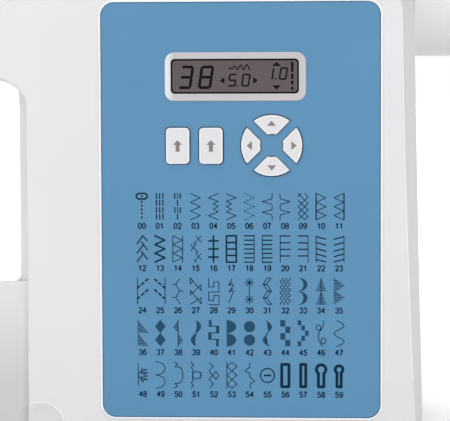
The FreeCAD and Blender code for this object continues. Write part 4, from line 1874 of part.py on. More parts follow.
def main():
    os.makedirs("parts", exist_ok=True)
    shapes = {name: build() for name, build in PIECES.items()}
    for i, name in enumerate(KEY_NAMES):
        shapes[name] = pattern_key(i)
    for i, name in enumerate(RING_NAMES):
        shapes[name] = ring_key(i)
    for i, name in enumerate(HEAD_KEY_NAMES):
        shapes[name] = head_key(i)
    for name, shape in shapes.items():
        shape.exportStep("parts/" + name + ".step")
        print(name, len(shape.Solids), round(shape.Volume))


if __name__ == "__main__":
    main()
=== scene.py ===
# %% [markdown]
# # A household sewing machine
# The construction model comes in as a fixed frame: sixty named parts, each riding on the body that carries
# it. This lesson dresses that frame.

# %% Load the frame
import json
import math
import bpy
from mathutils import Matrix, Vector


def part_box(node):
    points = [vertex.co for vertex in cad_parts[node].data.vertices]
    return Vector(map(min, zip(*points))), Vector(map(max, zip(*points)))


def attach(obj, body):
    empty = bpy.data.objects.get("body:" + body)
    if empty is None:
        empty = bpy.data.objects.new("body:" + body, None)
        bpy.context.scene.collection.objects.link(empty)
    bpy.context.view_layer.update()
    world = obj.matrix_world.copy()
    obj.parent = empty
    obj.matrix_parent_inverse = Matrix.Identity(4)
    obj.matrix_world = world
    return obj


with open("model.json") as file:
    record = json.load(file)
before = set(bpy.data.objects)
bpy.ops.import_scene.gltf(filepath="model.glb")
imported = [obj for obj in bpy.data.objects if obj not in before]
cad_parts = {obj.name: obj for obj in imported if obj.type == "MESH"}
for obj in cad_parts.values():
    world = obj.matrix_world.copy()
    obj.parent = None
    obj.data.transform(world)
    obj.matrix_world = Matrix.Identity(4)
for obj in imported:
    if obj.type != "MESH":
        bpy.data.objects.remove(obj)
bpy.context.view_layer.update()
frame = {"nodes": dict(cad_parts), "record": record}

MM = 0.001

# %% [markdown]
# Blender's operators act on whatever is selected, and the loaded parts start selected. Every step
# therefore begins with an empty selection. A finished piece has its place baked into its mesh and
# rides on one of the model's bodies, so that it moves when that body moves.

# %% Small tools used all through the lesson
def deselect():
    if bpy.context.object and bpy.context.object.mode != "OBJECT":
        bpy.ops.object.mode_set(mode="OBJECT")
    bpy.ops.object.select_all(action="DESELECT")


def take(obj):
    deselect()
    obj.select_set(True)
    bpy.context.view_layer.objects.active = obj
    return obj


def settle(name, body, material):
    """Name the active object, bake its place into its mesh and let it ride."""
    obj = take(bpy.context.object)
    bpy.ops.object.transform_apply(location=True, rotation=True, scale=True)
    obj.name = name
    obj.data.name = name
    obj.data.materials.clear()
    obj.data.materials.append(material)
    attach(obj, body)
    print(name, "on", body, len(obj.data.polygons), "faces")


# %% [markdown]
# The picture is taken from a little right of the panel and a little above it, from just over a metre
# away. The angles, the aim point on the panel and the focal length come from fitting the panel's four
# corners and two corners of the display's frame, so the panel keeps its slight widening towards the top.

# %% Camera
AIM = Vector((90.7, -90.4, 127.7)) * MM
AZIMUTH, ELEVATION, ROLL = math.radians(3.1), math.radians(3.75), math.radians(-0.2)
DISTANCE = 1.1                  # metres
LENS, SENSOR = 169.06, 36       # millimetres
FAR_END = 50                    # metres, well beyond the edge of the floor

towards_eye = Vector((math.sin(AZIMUTH) * math.cos(ELEVATION),
                      -math.cos(AZIMUTH) * math.cos(ELEVATION), math.sin(ELEVATION)))
deselect()
bpy.ops.object.camera_add(location=AIM + towards_eye * DISTANCE)
camera = bpy.context.object
camera.rotation_mode = "QUATERNION"
turn = (-towards_eye).to_track_quat("-Z", "Y").to_matrix() @ Matrix.Rotation(ROLL, 3, "Z")
camera.rotation_quaternion = turn.to_quaternion()
camera.data.sensor_width = SENSOR
camera.data.lens = LENS
camera.data.clip_end = FAR_END
bpy.context.scene.camera = camera
print("camera at", [round(v, 3) for v in camera.location])

# %% [markdown]
# A catalogue picture of white plastic needs light from all round with one gentle direction, or the
# white goes flat. Large panel lamps overhead and high in front take the upper faces nearly to white, two
# low ones even out the front from the sides, one behind shines in under the arm, and the sides stay a
# shade darker, so the round edges show.

# %% Lamps
bpy.context.scene.view_settings.view_transform = "Standard"


def lamp(name, place, aim, size, watts):
    """A square panel lamp that looks at its aim."""
    deselect()
    bpy.ops.object.light_add(type="AREA", location=place)
    light = bpy.context.object
    light.name = name
    light.rotation_euler = (Vector(aim) - Vector(place)).to_track_quat("-Z", "Y").to_euler()
    light.data.size = size
    light.data.energy = watts


lamp("overhead", (0, -0.1, 2.2), aim=(0, 0, 0), size=1.6, watts=6)
lamp("front_high", (-0.1, -1.6, 1.6), aim=(0, 0, 0.1), size=1.5, watts=11.5)
lamp("front_right", (1.1, -1.7, 0.4), aim=(0.1, 0, 0.12), size=1.2, watts=7.4)
lamp("front_left", (-1.1, -1.6, 0.5), aim=(0, 0, 0.12), size=1.2, watts=5.6)
lamp("back_low", (-0.8, 1.6, 0.8), aim=(-0.1, 0, 0.1), size=1.3, watts=8)

# %% [markdown]
# The world adds a soft light from everywhere, less than half as strong as white. Where the eye, a mirror
# or a lens looks at it directly it is pure white instead, so the background is clean while the machine
# keeps its shades. The kind of ray tells the two apart.

# %% World
SOFT_TINT, SOFT_STRENGTH = (1.0, 0.99, 0.995), 0.41
WHITE, WHITE_STRENGTH = (1, 1, 1), 1.0


def seen_directly(tree):
    """A socket that is 1 for the eye, a mirror or a lens, and 0 for rays that only carry light."""
    rays = tree.nodes.new("ShaderNodeLightPath")
    seen = rays.outputs["Is Camera Ray"]
    for kind in ("Is Glossy Ray", "Is Transmission Ray"):
        either = tree.nodes.new("ShaderNodeMath")
        either.operation = "MAXIMUM"
        tree.links.new(seen, either.inputs[0])
        tree.links.new(rays.outputs[kind], either.inputs[1])
        seen = either.outputs[0]
    return seen


def background(tree, colour, strength):
    shader = tree.nodes.new("ShaderNodeBackground")
    shader.inputs["Color"].default_value = (*colour, 1)
    shader.inputs["Strength"].default_value = strength
    return shader.outputs[0]


world = bpy.data.worlds.new("studio")
bpy.context.scene.world = world
world.use_nodes = True
tree = world.node_tree
tree.nodes.clear()
out = tree.nodes.new("ShaderNodeOutputWorld")
blend = tree.nodes.new("ShaderNodeMixShader")
tree.links.new(seen_directly(tree), blend.inputs[0])
tree.links.new(background(tree, SOFT_TINT, SOFT_STRENGTH), blend.inputs[1])
tree.links.new(background(tree, WHITE, WHITE_STRENGTH), blend.inputs[2])
tree.links.new(blend.outputs[0], out.inputs[0])
print("world", world.name, "with", len(tree.nodes), "nodes")

# %% [markdown]
# Every finish is a small network of nodes on the part's own coordinates: a fine noise for the grain of
# the mould or the grinding, a broad noise that shifts the colour and the gloss by a few percent. What
# is the same all over, such as metal or coat, is set on the shader itself, so an export keeps it.

# %% Building blocks of a finish
RAMP_ENDS = (0.3, 0.7)              # a noise hardly leaves this range


def srgb(red, green, blue):
    """Screen values 0 to 255 as the linear colour that shaders use."""
    scaled = [v / 255 for v in (red, green, blue)]
    return [v / 12.92 if v <= 0.04045 else ((v + 0.055) / 1.055) ** 2.4 for v in scaled]


def start_finish(name):
    material = bpy.data.materials.new(name)
    material.use_nodes = True
    tree = material.node_tree
    place = tree.nodes.new("ShaderNodeTexCoord").outputs["Object"]
    return material, tree, tree.nodes["Principled BSDF"], place


def noise(tree, place, scale, detail=3.0, stretch=None):
    if stretch:
        mapping = tree.nodes.new("ShaderNodeMapping")
        mapping.inputs["Scale"].default_value = stretch
        tree.links.new(place, mapping.inputs["Vector"])
        place = mapping.outputs["Vector"]
    texture = tree.nodes.new("ShaderNodeTexNoise")
    texture.inputs["Scale"].default_value = scale
    texture.inputs["Detail"].default_value = detail
    tree.links.new(place, texture.inputs["Vector"])
    return texture.outputs["Fac"]


def shade(tree, shader, factor, colour, spread):
    """Let the factor move the colour by the spread, darker and lighter."""
    ramp = tree.nodes.new("ShaderNodeValToRGB")
    for element, position, change in zip(ramp.color_ramp.elements, RAMP_ENDS, (-spread, spread)):
        element.position = position
        element.color = [*[min(v * (1 + change), 1) for v in colour], 1]
    tree.links.new(factor, ramp.inputs["Fac"])
    tree.links.new(ramp.outputs["Color"], shader.inputs["Base Color"])


def gloss(tree, shader, factor, roughness, spread):
    span = tree.nodes.new("ShaderNodeMapRange")
    span.inputs["To Min"].default_value = roughness - spread
    span.inputs["To Max"].default_value = roughness + spread
    tree.links.new(factor, span.inputs["Value"])
    tree.links.new(span.outputs["Result"], shader.inputs["Roughness"])


def relief(tree, shader, factor, strength, depth):
    bump = tree.nodes.new("ShaderNodeBump")
    bump.inputs["Strength"].default_value = strength
    bump.inputs["Distance"].default_value = depth
    tree.links.new(factor, bump.inputs["Height"])
    tree.links.new(bump.outputs["Normal"], shader.inputs["Normal"])


print("blocks for colour, gloss and relief ready")

# %% [markdown]
# Nearly everything on the machine is plastic or metal, so two functions make all the finishes. A plastic
# has a fine even grain from its mould. A ground or turned metal has longer streaks, so its noise is
# stretched along one axis.

# %% Plastics and metals
BROAD_NOISE, GRAIN_NOISE, STREAK_NOISE = 18, 2600, 240      # bumps in a metre, roughly
GRAIN_DEPTH, STREAK_DEPTH = 0.04 * MM, 0.03 * MM
PLASTIC_GLOSS_SPREAD, METAL_GLOSS_SPREAD = 0.04, 0.06
PLASTIC_IOR, COAT_ROUGHNESS = 1.49, 0.08


def plastic(name, colour, roughness, grain=0.12, spread=0.02, coat=0.0, clear=0.0, shine=0.5):
    material, tree, shader, place = start_finish(name)
    broad = noise(tree, place, BROAD_NOISE)
    shade(tree, shader, broad, colour, spread)
    gloss(tree, shader, broad, roughness, PLASTIC_GLOSS_SPREAD)
    relief(tree, shader, noise(tree, place, GRAIN_NOISE, detail=2), grain, GRAIN_DEPTH)
    shader.inputs["Coat Weight"].default_value = coat
    shader.inputs["Coat Roughness"].default_value = COAT_ROUGHNESS
    shader.inputs["Transmission Weight"].default_value = clear
    shader.inputs["IOR"].default_value = PLASTIC_IOR
    shader.inputs["Specular IOR Level"].default_value = shine
    return material


def metal(name, colour, roughness, stretch, grain=0.2, spread=0.06):
    material, tree, shader, place = start_finish(name)
    streaks = noise(tree, place, STREAK_NOISE, detail=4, stretch=stretch)
    shade(tree, shader, streaks, colour, spread)
    gloss(tree, shader, streaks, roughness, METAL_GLOSS_SPREAD)
    relief(tree, shader, streaks, grain, STREAK_DEPTH)
    shader.inputs["Metallic"].default_value = 1.0
    return material


print("functions for plastics and metals ready")

# %% [markdown]
# The casing is a cool white, a little darker on the keys. The hand wheel is painted whiter than the casing,
# a painted light that lifts it out of its shade. The panel is a matt blue and the switched-on display a
# smooth grey. The works inside are cast metal, ground steel, chrome and brass, with dark and grey plastics
# between them. A colour is written as it looks on a screen, because the lamps show it at about that value.

# %% The machine's finishes
casing_white = plastic("casing_white", srgb(233, 232, 234), 0.34)
# Painted light: the wheel is whiter than the casing to lift it out of its shade.
wheel_white_painted_light = plastic("wheel_white_painted_light", srgb(248, 247, 249), 0.36)
panel_blue = plastic("panel_blue", srgb(93, 146, 184), 0.52, grain=0.2, spread=0.03, shine=0.3)
key_white = plastic("key_white", srgb(229, 229, 231), 0.26)
bezel_white = plastic("bezel_white", srgb(234, 233, 236), 0.16, coat=0.4)
dark_plastic = plastic("dark_plastic", srgb(46, 47, 50), 0.5, grain=0.3)
lever_grey = plastic("lever_grey", srgb(120, 122, 126), 0.42)
clear_plastic = plastic("clear_plastic", (0.9, 0.93, 0.94), 0.1, grain=0.02, clear=0.85)
black_rubber = plastic("black_rubber", srgb(38, 38, 40), 0.75, grain=0.6, spread=0.12)
board_green = plastic("board_green", srgb(36, 92, 62), 0.4, spread=0.08)
motor_grey = plastic("motor_grey", srgb(88, 90, 94), 0.4, grain=0.3)
cast_frame = metal("cast_frame", srgb(176, 177, 178), 0.5, (1, 1, 1), grain=0.5)
bright_steel = metal("bright_steel", srgb(168, 170, 174), 0.28, (0.08, 1, 1))
polished_chrome = metal("polished_chrome", srgb(186, 188, 193), 0.16, (0.3, 1, 1), grain=0.05, spread=0.02)
bearing_brass = metal("bearing_brass", srgb(196, 162, 96), 0.3, (0.1, 1, 1))
display_grey = plastic("display_grey", srgb(99, 90, 92), 0.22, grain=0.02, spread=0.03, shine=0.15)
print(len(bpy.data.materials), "finishes")

# %% [markdown]
# Two whites carry painted shade across their part. The front of the tray is painted a little darker
# downwards, a painted shade; like the free arm it is polished, so that cloth slides on it. The display's
# bezel is a rounded frame that catches the light at its left end only, so the rest of it is painted darker,
# a painted shade. A ramp along one axis mixes a deeper tone into the white.

# %% Painted shade along an axis on two whites
BED_COLOUR, BED_ROUGHNESS = srgb(229, 228, 230), 0.22
TRAY_SHADE_FADE, TRAY_SHADE_TONE = (86, 30), (0.83, 0.815, 0.82)        # heights in millimetres, share of the colour
BEZEL_SHADE_FADE, BEZEL_SHADE_TONE = (61, 65), (0.72, 0.69, 0.69)       # places along X, share of the colour


def paint_shade_along(material, axis, fade, tone):
    """Paint shade: multiply the colour by the tone, more and more along an axis, between two places in
    millimetres.
    """
    tree = material.node_tree
    split = tree.nodes.new("ShaderNodeSeparateXYZ")
    ramp = tree.nodes.new("ShaderNodeMapRange")
    ramp.interpolation_type = "SMOOTHSTEP"
    ramp.inputs["From Min"].default_value = fade[0] * MM
    ramp.inputs["From Max"].default_value = fade[1] * MM
    mix = tree.nodes.new("ShaderNodeMixRGB")
    mix.blend_type = "MULTIPLY"
    mix.inputs["Color2"].default_value = (*tone, 1)
    base = tree.nodes["Principled BSDF"].inputs["Base Color"]
    before = base.links[0].from_socket
    tree.links.new(tree.nodes["Texture Coordinate"].outputs["Object"], split.inputs[0])
    tree.links.new(split.outputs[axis], ramp.inputs["Value"])
    tree.links.new(ramp.outputs["Result"], mix.inputs["Fac"])
    tree.links.new(before, mix.inputs["Color1"])
    tree.links.new(mix.outputs["Color"], base)


bed_white = plastic("bed_white", BED_COLOUR, BED_ROUGHNESS)
tray_white_painted_shade = plastic("tray_white_painted_shade", BED_COLOUR, BED_ROUGHNESS)
# Painted shade: the tray's front grows darker towards its foot.
paint_shade_along(tray_white_painted_shade, "Z", TRAY_SHADE_FADE, TRAY_SHADE_TONE)
# Painted shade: the bezel darkens beyond its lit left end.
paint_shade_along(bezel_white, "X", BEZEL_SHADE_FADE, BEZEL_SHADE_TONE)
print(tray_white_painted_shade.name, bezel_white.name, bed_white.name)

# %% [markdown]
# The floor is pale and takes the shadow of the machine. Where the eye, a mirror or a lens sees it, it
# also glows a little, so that it comes out white beside the shadow, and further off it fades into the
# white of the background. A plane is all it needs.

# %% Floor
FLOOR_SIZE = 24                     # metres
GLOW_NEAR, GLOW_FAR = 0.4, 1.0      # strength beside the machine and further off
FADE_START, FADE_END = 0.45, 0.9    # metres from the middle

deselect()
bpy.ops.mesh.primitive_plane_add(size=FLOOR_SIZE, location=(0, 0, 0))
floor = bpy.context.object
floor.name = "floor"
floor_pale = plastic("floor_pale", (0.87, 0.865, 0.87), 0.8, grain=0.0, spread=0.01)
tree = floor_pale.node_tree
away = tree.nodes.new("ShaderNodeVectorMath")
away.operation = "LENGTH"
fade = tree.nodes.new("ShaderNodeMapRange")
fade.inputs["From Min"].default_value = FADE_START
fade.inputs["From Max"].default_value = FADE_END
fade.inputs["To Min"].default_value = GLOW_NEAR
fade.inputs["To Max"].default_value = GLOW_FAR
glow = tree.nodes.new("ShaderNodeMath")
glow.operation = "MULTIPLY"
shader = tree.nodes["Principled BSDF"]
shader.inputs["Emission Color"].default_value = (*WHITE, 1)
tree.links.new(tree.nodes["Texture Coordinate"].outputs["Object"], away.inputs[0])
tree.links.new(away.outputs["Value"], fade.inputs["Value"])
tree.links.new(seen_directly(tree), glow.inputs[0])
tree.links.new(fade.outputs["Result"], glow.inputs[1])
tree.links.new(glow.outputs[0], shader.inputs["Emission Strength"])
floor.data.materials.append(floor_pale)
print("floor", floor_pale.name)

# %% [markdown]
# The loaded parts carry the right shapes and smooth shading already, so they only need their finish.
# Every material slot of the record has one, and the three parts of the bed have whites of their own.

# %% Dress the loaded parts
FINISH_OF_SLOT = {
    "casing_white": casing_white, "wheel_grey": wheel_white_painted_light, "panel_blue": panel_blue,
    "key_white": key_white, "bezel_white": bezel_white, "display_glass": display_grey,
    "board_green": board_green, "dark_plastic": dark_plastic, "black_rubber": black_rubber,
    "cast_frame": cast_frame, "bright_steel": bright_steel, "polished_chrome": polished_chrome,
    "lever_dark": lever_grey, "bearing_brass": bearing_brass, "motor_grey": motor_grey,
    "clear_plastic": clear_plastic,
}
FINISH_OF_PART = {"accessory_tray": tray_white_painted_shade, "tray_lid": bed_white, "free_arm_cover": bed_white}
for entry in frame["record"]["subparts"]:
    node = frame["nodes"][entry["node"]]
    node.data.materials.clear()
    node.data.materials.append(FINISH_OF_PART.get(entry["node"], FINISH_OF_SLOT[entry["material_slot"]]))

# %% [markdown]
# Trim and print are lines and flat shapes on the front of the machine. They are drawn as curves in the
# plane of the panel and turned into meshes: a line has a round or square section pressed flat, a shape
# is filled. A curve suits them better than a bevelled box, because a line keeps one thickness all the
# way round its corners.

# %% Tools for trim and print
def arc(x, z, r, start=0, sweep=360, steps=18, wide=1.0):
    """Points along part of a circle, in degrees, or of an oval if it is wider than high."""
    turns = [math.radians(start + sweep * i / steps) for i in range(steps + 1)]
    return [(x + r * wide * math.cos(turn), z + r * math.sin(turn)) for turn in turns]


def round_rect(x0, x1, z0, z1, r, steps=6):
    """Points round a rectangle with round corners, from the upper right one."""
    corners = ((x1 - r, z1 - r), (x0 + r, z1 - r), (x0 + r, z0 + r), (x1 - r, z0 + r))
    return [point for i, (x, z) in enumerate(corners) for point in arc(x, z, r, 90 * i, 90, steps)]


def drawing(name, flat=True):
    """An empty curve in the plane of the panel: its own x is X, its own y is Z."""
    deselect()
    bpy.ops.curve.primitive_bezier_curve_add(rotation=(math.pi / 2, 0, 0))
    sheet = bpy.context.object
    sheet.name = name
    sheet.data.splines.clear()
    sheet.data.dimensions = "2D" if flat else "3D"
    sheet.data.fill_mode = "BOTH" if flat else "FULL"
    return sheet


def line_drawing(name, half, rounding=0, caps=False):
    """A drawing for lines; without rounding their section is a square that stands on a corner."""
    sheet = drawing(name, flat=False)
    sheet.data.bevel_depth = half
    sheet.data.bevel_resolution = rounding
    sheet.data.use_fill_caps = caps
    return sheet


def draw(sheet, points, closed):
    line = sheet.data.splines.new("POLY")
    line.points.add(len(points) - 1)
    for point, (x, z) in zip(line.points, points):
        point.co = (x, z, 0, 1)
    line.use_cyclic_u = closed


def print_down(sheet, y, name, body, material, squeeze=1.0):
    """Turn a drawing into a thin mesh that lies at depth y."""
    take(sheet)
    bpy.ops.object.convert(target="MESH")
    sheet = bpy.context.object
    sheet.location.y = y
    sheet.scale.z = squeeze
    settle(name, body, material)


def in_metres(points):
    return [(x * MM, z * MM) for x, z in points]


PANEL_LOW, PANEL_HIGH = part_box("control_panel")
PANEL_FACE = PANEL_LOW[1]
print("face of the panel at", round(PANEL_FACE, 4))

# %% [markdown]
# A thin white line runs round the blue panel, a painted highlight where the casing turns over its edge, and
# just inside it a thin dark line is painted shade on the panel's own edge. Each is one closed line round
# the panel.

# %% Painted highlight and shade round the panel
PANEL_CORNER = 7.0 * MM
LINE_ROUNDING = 2                   # steps that round a line's section


def panel_frame(name, material, width, inset, y, squeeze):
    """A line round the panel; the inset of its middle is measured from the panel's edge."""
    trim = line_drawing("trim", width / 2, LINE_ROUNDING)
    outline = round_rect(PANEL_LOW[0] + inset, PANEL_HIGH[0] - inset, PANEL_LOW[2] + inset,
                         PANEL_HIGH[2] - inset, PANEL_CORNER - inset, steps=10)
    draw(trim, outline, closed=True)
    print_down(trim, y, name, "machine_body", material, squeeze)


highlight_white = plastic("highlight_white", srgb(252, 252, 252), 0.3)
edge_shade_blue = plastic("edge_shade_blue", srgb(58, 104, 140), 0.5, shine=0.1)
# Painted highlight: the white line round the panel.
panel_frame("panel_highlight_line", highlight_white, width=1.2 * MM, inset=-0.5 * MM, y=PANEL_FACE + 0.1 * MM,
            squeeze=0.2)
# Painted shade: the dark line on the panel's own edge.
panel_frame("panel_edge_shade", edge_shade_blue, width=0.45 * MM, inset=0.3 * MM, y=PANEL_FACE, squeeze=0.1)

# %% [markdown]
# Two more lines belong to the edges of the front. The right side of the panel lies in the shade of its own
# edge, so the line there is painted grey, a painted shade. And the right rim of the front cover is so
# sharply rounded that it shines, so its highlight is painted as one bright line, which ends above the foot.

# %% Painted shade and highlight at the right
RIM = ((182.3, 233.8), (182.9, 205.5), (183.9, 159.0), (184.65, 133.1), (185.6, 107.1), (186.65, 81.1),
       (187.6, 54.9), (188.4, 39.1))
SHADE_X = PANEL_HIGH[0] / MM + 0.5
SHADE = ((SHADE_X, 229.5), (SHADE_X, 25.5))


def edge_line(name, material, points, width, y, squeeze):
    """An open line on the front; its points are in millimetres."""
    line = line_drawing("edge", width / 2, LINE_ROUNDING)
    draw(line, in_metres(points), closed=False)
    print_down(line, y, name, "machine_body", material, squeeze)


shade_grey = plastic("shade_grey", srgb(206, 207, 212), 0.5)
edge_line("panel_shade", shade_grey, SHADE, width=0.9 * MM, y=PANEL_FACE + 0.08 * MM, squeeze=0.2)
# Painted highlight along the right rim of the front cover.
edge_line("front_rim_highlight", highlight_white, RIM, width=0.6 * MM, y=PANEL_FACE + 0.45 * MM, squeeze=0.3)

# %% [markdown]
# Low at the left of the front is the finger hollow for pulling off the tray. Its upper edge is rounded, and
# the light it catches is painted as a bright arc, a painted highlight. Above the tray the bed runs into the
# pillar in a small cove, a flat shape drawn out to the depth of the bed. It is rooted in the pillar, and
# stands a hair above the bed, because the tray slides away under it.

# %% Painted highlight of the finger hollow and cove of the throat
PILLAR_LEFT = -18.4
HOLLOW_X, HOLLOW_Z, HOLLOW_R = PILLAR_LEFT + 11.2, 13.6, 13.0
COVE_R, COVE_ROOT = 3.4, 4.0
COVE_SETBACK = 5.0 * MM             # behind the front of the tray
COVE_PLAY = 0.05                    # above the bed

hollow_highlight_arc = arc(HOLLOW_X, HOLLOW_Z, HOLLOW_R, start=15, sweep=100, steps=20)
# Painted highlight: a bright arc on the hollow's upper edge.
edge_line("hollow_rim_highlight", highlight_white, hollow_highlight_arc, width=0.8 * MM, y=PANEL_FACE + 0.42 * MM, squeeze=0.3)

_, cove_back, bed_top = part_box("free_arm_cover")[1]
cove_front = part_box("accessory_tray")[0][1] + COVE_SETBACK
cove_low = bed_top / MM + COVE_PLAY
cove_root = PILLAR_LEFT + COVE_ROOT
cove_outline = [(cove_root, cove_low), (cove_root, cove_low + COVE_R)]
cove_outline += arc(PILLAR_LEFT - COVE_R, cove_low + COVE_R, COVE_R, start=0, sweep=-90, steps=8)
cove = drawing("cove")
draw(cove, in_metres(cove_outline), closed=True)
cove.data.extrude = (cove_back - cove_front) / 2
print_down(cove, (cove_back + cove_front) / 2, "throat_cove", "machine_body", bed_white)

# %% [markdown]
# The stitch chart is printed on the panel in dark blue ink: sixty little stitch pictures with their
# numbers, in five rows of twelve. Each picture is written as strokes and filled shapes on a grid whose
# unit is about half a millimetre, with the middle of the picture at 0, 0. All strokes of one width
# share a curve, which becomes one thin mesh, so the print stays light. First come the tools that
# repeat in many pictures.

# %% Tools for stitch pictures
UP = 13.2                  # half the height of a picture
OUT = 4.9                  # half its width


def even(count, top=UP, bottom=-UP):
    """Values at even steps, from the top down."""
    return [top + (bottom - top) * i / (count - 1) for i in range(count)]


def zig(half, heights):
    """A zigzag that starts at the left."""
    return [(half if i % 2 else -half, z) for i, z in enumerate(heights)]


def along(start, end, share):
    """The point at a share of the way from start to end."""
    return tuple(a + (b - a) * share for a, b in zip(start, end))


def dashed(points, on, off):
    """Cut every run of a line into dashes."""
    pieces = []
    for start, end in zip(points, points[1:]):
        run = math.dist(start, end)
        count = max(1, round((run + off) / (on + off)))
        scale = 1 / (count * on + (count - 1) * off)
        for i in range(count):
            begin = i * (on + off) * scale
            pieces.append([along(start, end, begin), along(start, end, begin + on * scale)])
    return pieces


def flip(strokes):
    return [[(-x, z) for x, z in line] for line in strokes]


def mirror(picture):
    return {kind: flip(strokes) for kind, strokes in picture.items()}


def turn_round(line):
    return [(-x, -z) for x, z in line]


def upside_down(line):
    return [(x, -z) for x, z in line]


def shift(line, dz):
    return [(x, z + dz) for x, z in line]


def bars(heights, drop=0.0):
    """Strokes across the picture, level or falling to the right."""
    return [[(-OUT, z), (OUT, z - drop)] for z in heights]


def tile(left, right, low, high):
    return [(left, low), (right, low), (right, high), (left, high)]


LEFT_LINE = [(-OUT, UP), (-OUT, -UP)]
RIGHT_LINE = [(OUT, UP), (OUT, -UP)]
MIDDLE_LINE = [(0, UP), (0, -UP)]
PLAIN = zig(OUT, even(7))
pictures = {}
print("grid", 2 * OUT, "by", 2 * UP)

# %% [markdown]
# The first two rows are useful stitches: straight and zigzag seams, stretch seams, hems and seams along
# an edge. Many are a line or two with a zigzag, and many come in pairs, so the second of a pair is the
# mirror of the first.

# %% Rows 0 and 1: straight, zigzag, stretch and hem stitches
DASHES = ((13.2, 8.1), (6.4, 1.2), (-0.7, -5.9), (-7.6, -12.7))


def column(x, rows):
    return [[(x, DASHES[i][0]), (x, DASHES[i][1])] for i in rows]


def cross(x, z, half):
    return [[(x - half, z + side * 1.2 * half), (x + half, z - side * 1.2 * half)] for side in (1, -1)]


pictures[0] = {"bold": [round_rect(-5.4, 5.4, 7.7, 13.2, 2.7, 4) + [(5.4, 10.5)],
                        [(-0.6, 10.4), (0.6, 10.4)]]
               + [[(0, z + 0.7), (0, z - 0.7)] for z in (5.0, 1.1, -2.8, -6.7, -10.8)]}
pictures[1] = {"medium": [dash for x in (-3.2, 0, 3.2) for dash in column(x, range(4))]}
pictures[2] = {"medium": column(0, (1, 3)) + column(-2.7, (0, 2)) + column(2.7, (0, 2))
               + dashed(column(0, [0])[0], 0.9, 1.2) + dashed(column(0, [2])[0], 0.9, 1.2)}
pictures[3] = {"fine": [PLAIN]}
pictures[4] = {"fine": [[(OUT, 13.1), (-OUT, 8.8), (OUT, 5.4), (-0.1, 2.9), (OUT, 0.1), (-0.1, -2.4),
                         (OUT, -5.2), (-OUT, -9), (OUT, -13.1)]]}
pictures[5] = mirror(pictures[4])
pictures[6] = {"fine": dashed(PLAIN, 1.7, 1.9)}
pictures[7] = {"fine": [[(5, 13.1), (5, 9), (4.2, 7.6), (-OUT, 5.1), (4.2, 2.4), (5, 1.2), (5, -2),
                         (4.2, -3.4), (-OUT, -5.6), (4.2, -8), (5, -9.2), (5, -13.1)]]}
pictures[8] = mirror(pictures[7])
FALLING = [[(1.6, 13.1), (OUT, 9.8)], [(-OUT, 13.1), (OUT, 3.3)], [(-OUT, 6.6), (OUT, -3.2)],
           [(-OUT, 0), (OUT, -9.8)], [(-OUT, -6.6), (1.6, -13.1)]]
RISING = [[(-OUT, z - 9.8), (OUT, z)] for z in (9.6, 3.2, -3.3)]
RISING += [[(-1.7, 13.1), (-OUT, 9.9)], [(1.6, -13.1), (OUT, -9.8)]]
pictures[9] = {"fine": FALLING + RISING}
pictures[10] = {"fine": [PLAIN], "medium": [LEFT_LINE]}
pictures[11] = mirror(pictures[10])
pictures[12] = {"medium": [[(-5, z - 8.2), (0.8, z)] for z in (13.2, 3.8, -4.8)]
                + [[(-0.6, z), (5.4, z - 8.2)] for z in (7.2, -2.4)] + [[(0.8, 13.2), (5.4, 7.8)]]}
pictures[13] = {"bold": [zig(5.1, even(7))]}
pictures[14] = {"fine": [LEFT_LINE, RIGHT_LINE, PLAIN]}
pictures[15] = {"fine": cross(2.9, 10, 2.6) + cross(-2.2, 1.4, 2.7) + cross(2.9, -7.6, 2.6)
                + [[(0.3, 6.9), (-2, 5.6), (0.5, 4.6)], [(0.5, -1.8), (2.4, -2.6), (0.3, -4.5)],
                   [(0.3, -10.7), (-1.2, -11.6), (0.8, -13.2)]]}
pictures[16] = {"bold": [MIDDLE_LINE] + bars((8.1, 0, -8.1))}
pictures[17] = {"bold": [LEFT_LINE, RIGHT_LINE] + bars((UP, 6.4, 0, -6.4, -UP))}
pictures[18] = {"fine": [RIGHT_LINE], "medium": bars(even(7))}
pictures[19] = mirror(pictures[18])
pictures[20] = {"fine": [LEFT_LINE], "medium": bars((13.1, 6.2, -0.3, -6.9))}
pictures[21] = mirror(pictures[20])
pictures[22] = {"fine": [LEFT_LINE], "medium": bars((12.5, 6.6, 0.6, -4.8, -10.2), drop=2.7)}
pictures[23] = mirror(pictures[22])
print("pictures so far", len(pictures))

# %% [markdown]
# Row 2 begins the ornamental stitches. A star, a leaf or a crescent that comes again in its picture is
# drawn once and set at each height.

# %% Row 2: outlines, stars and leaves
GREEK = [(-5, 12.8), (-5, 4.2), (0.2, 4.2), (0.2, 9.4), (5.3, 9.4), (5.3, -0.8), (-5, -0.8), (-5, -9.3),
         (0.2, -9.3), (0.2, -4.4), (5.3, -4.4), (5.3, -13.6), (-4.7, -13.6)]
RISE = [[(-5, 2.9), (5.6, 12)], [(-5, -7.9), (5.6, 1.4)]]
TWIG = [(1.7, 12.4), (-2.2, 6.7), (1.7, 0), (-2.2, -6.4), (2.3, -12.9)]
THORNS = [[(-2.2, 6.7), (-5.5, 6.9)], [(1.7, 0), (5.2, 0)], [(-2.2, -6.4), (-5.5, -6.4)]]
LEAF = [(3.8, 6.2), (0.2, 6.2), (-4.2, 0), (-0.6, 0), (3.8, 6.2)]


def star(z):
    return [[(0, z), point] for point in arc(0, z, 4.7, steps=8)[:8]]


def crescent(z):
    return arc(-4.4, z, 6.8, 90, -180, 14, 1.28) + arc(-4.4, z, 6.2, -90, 180, 14, 0.75)


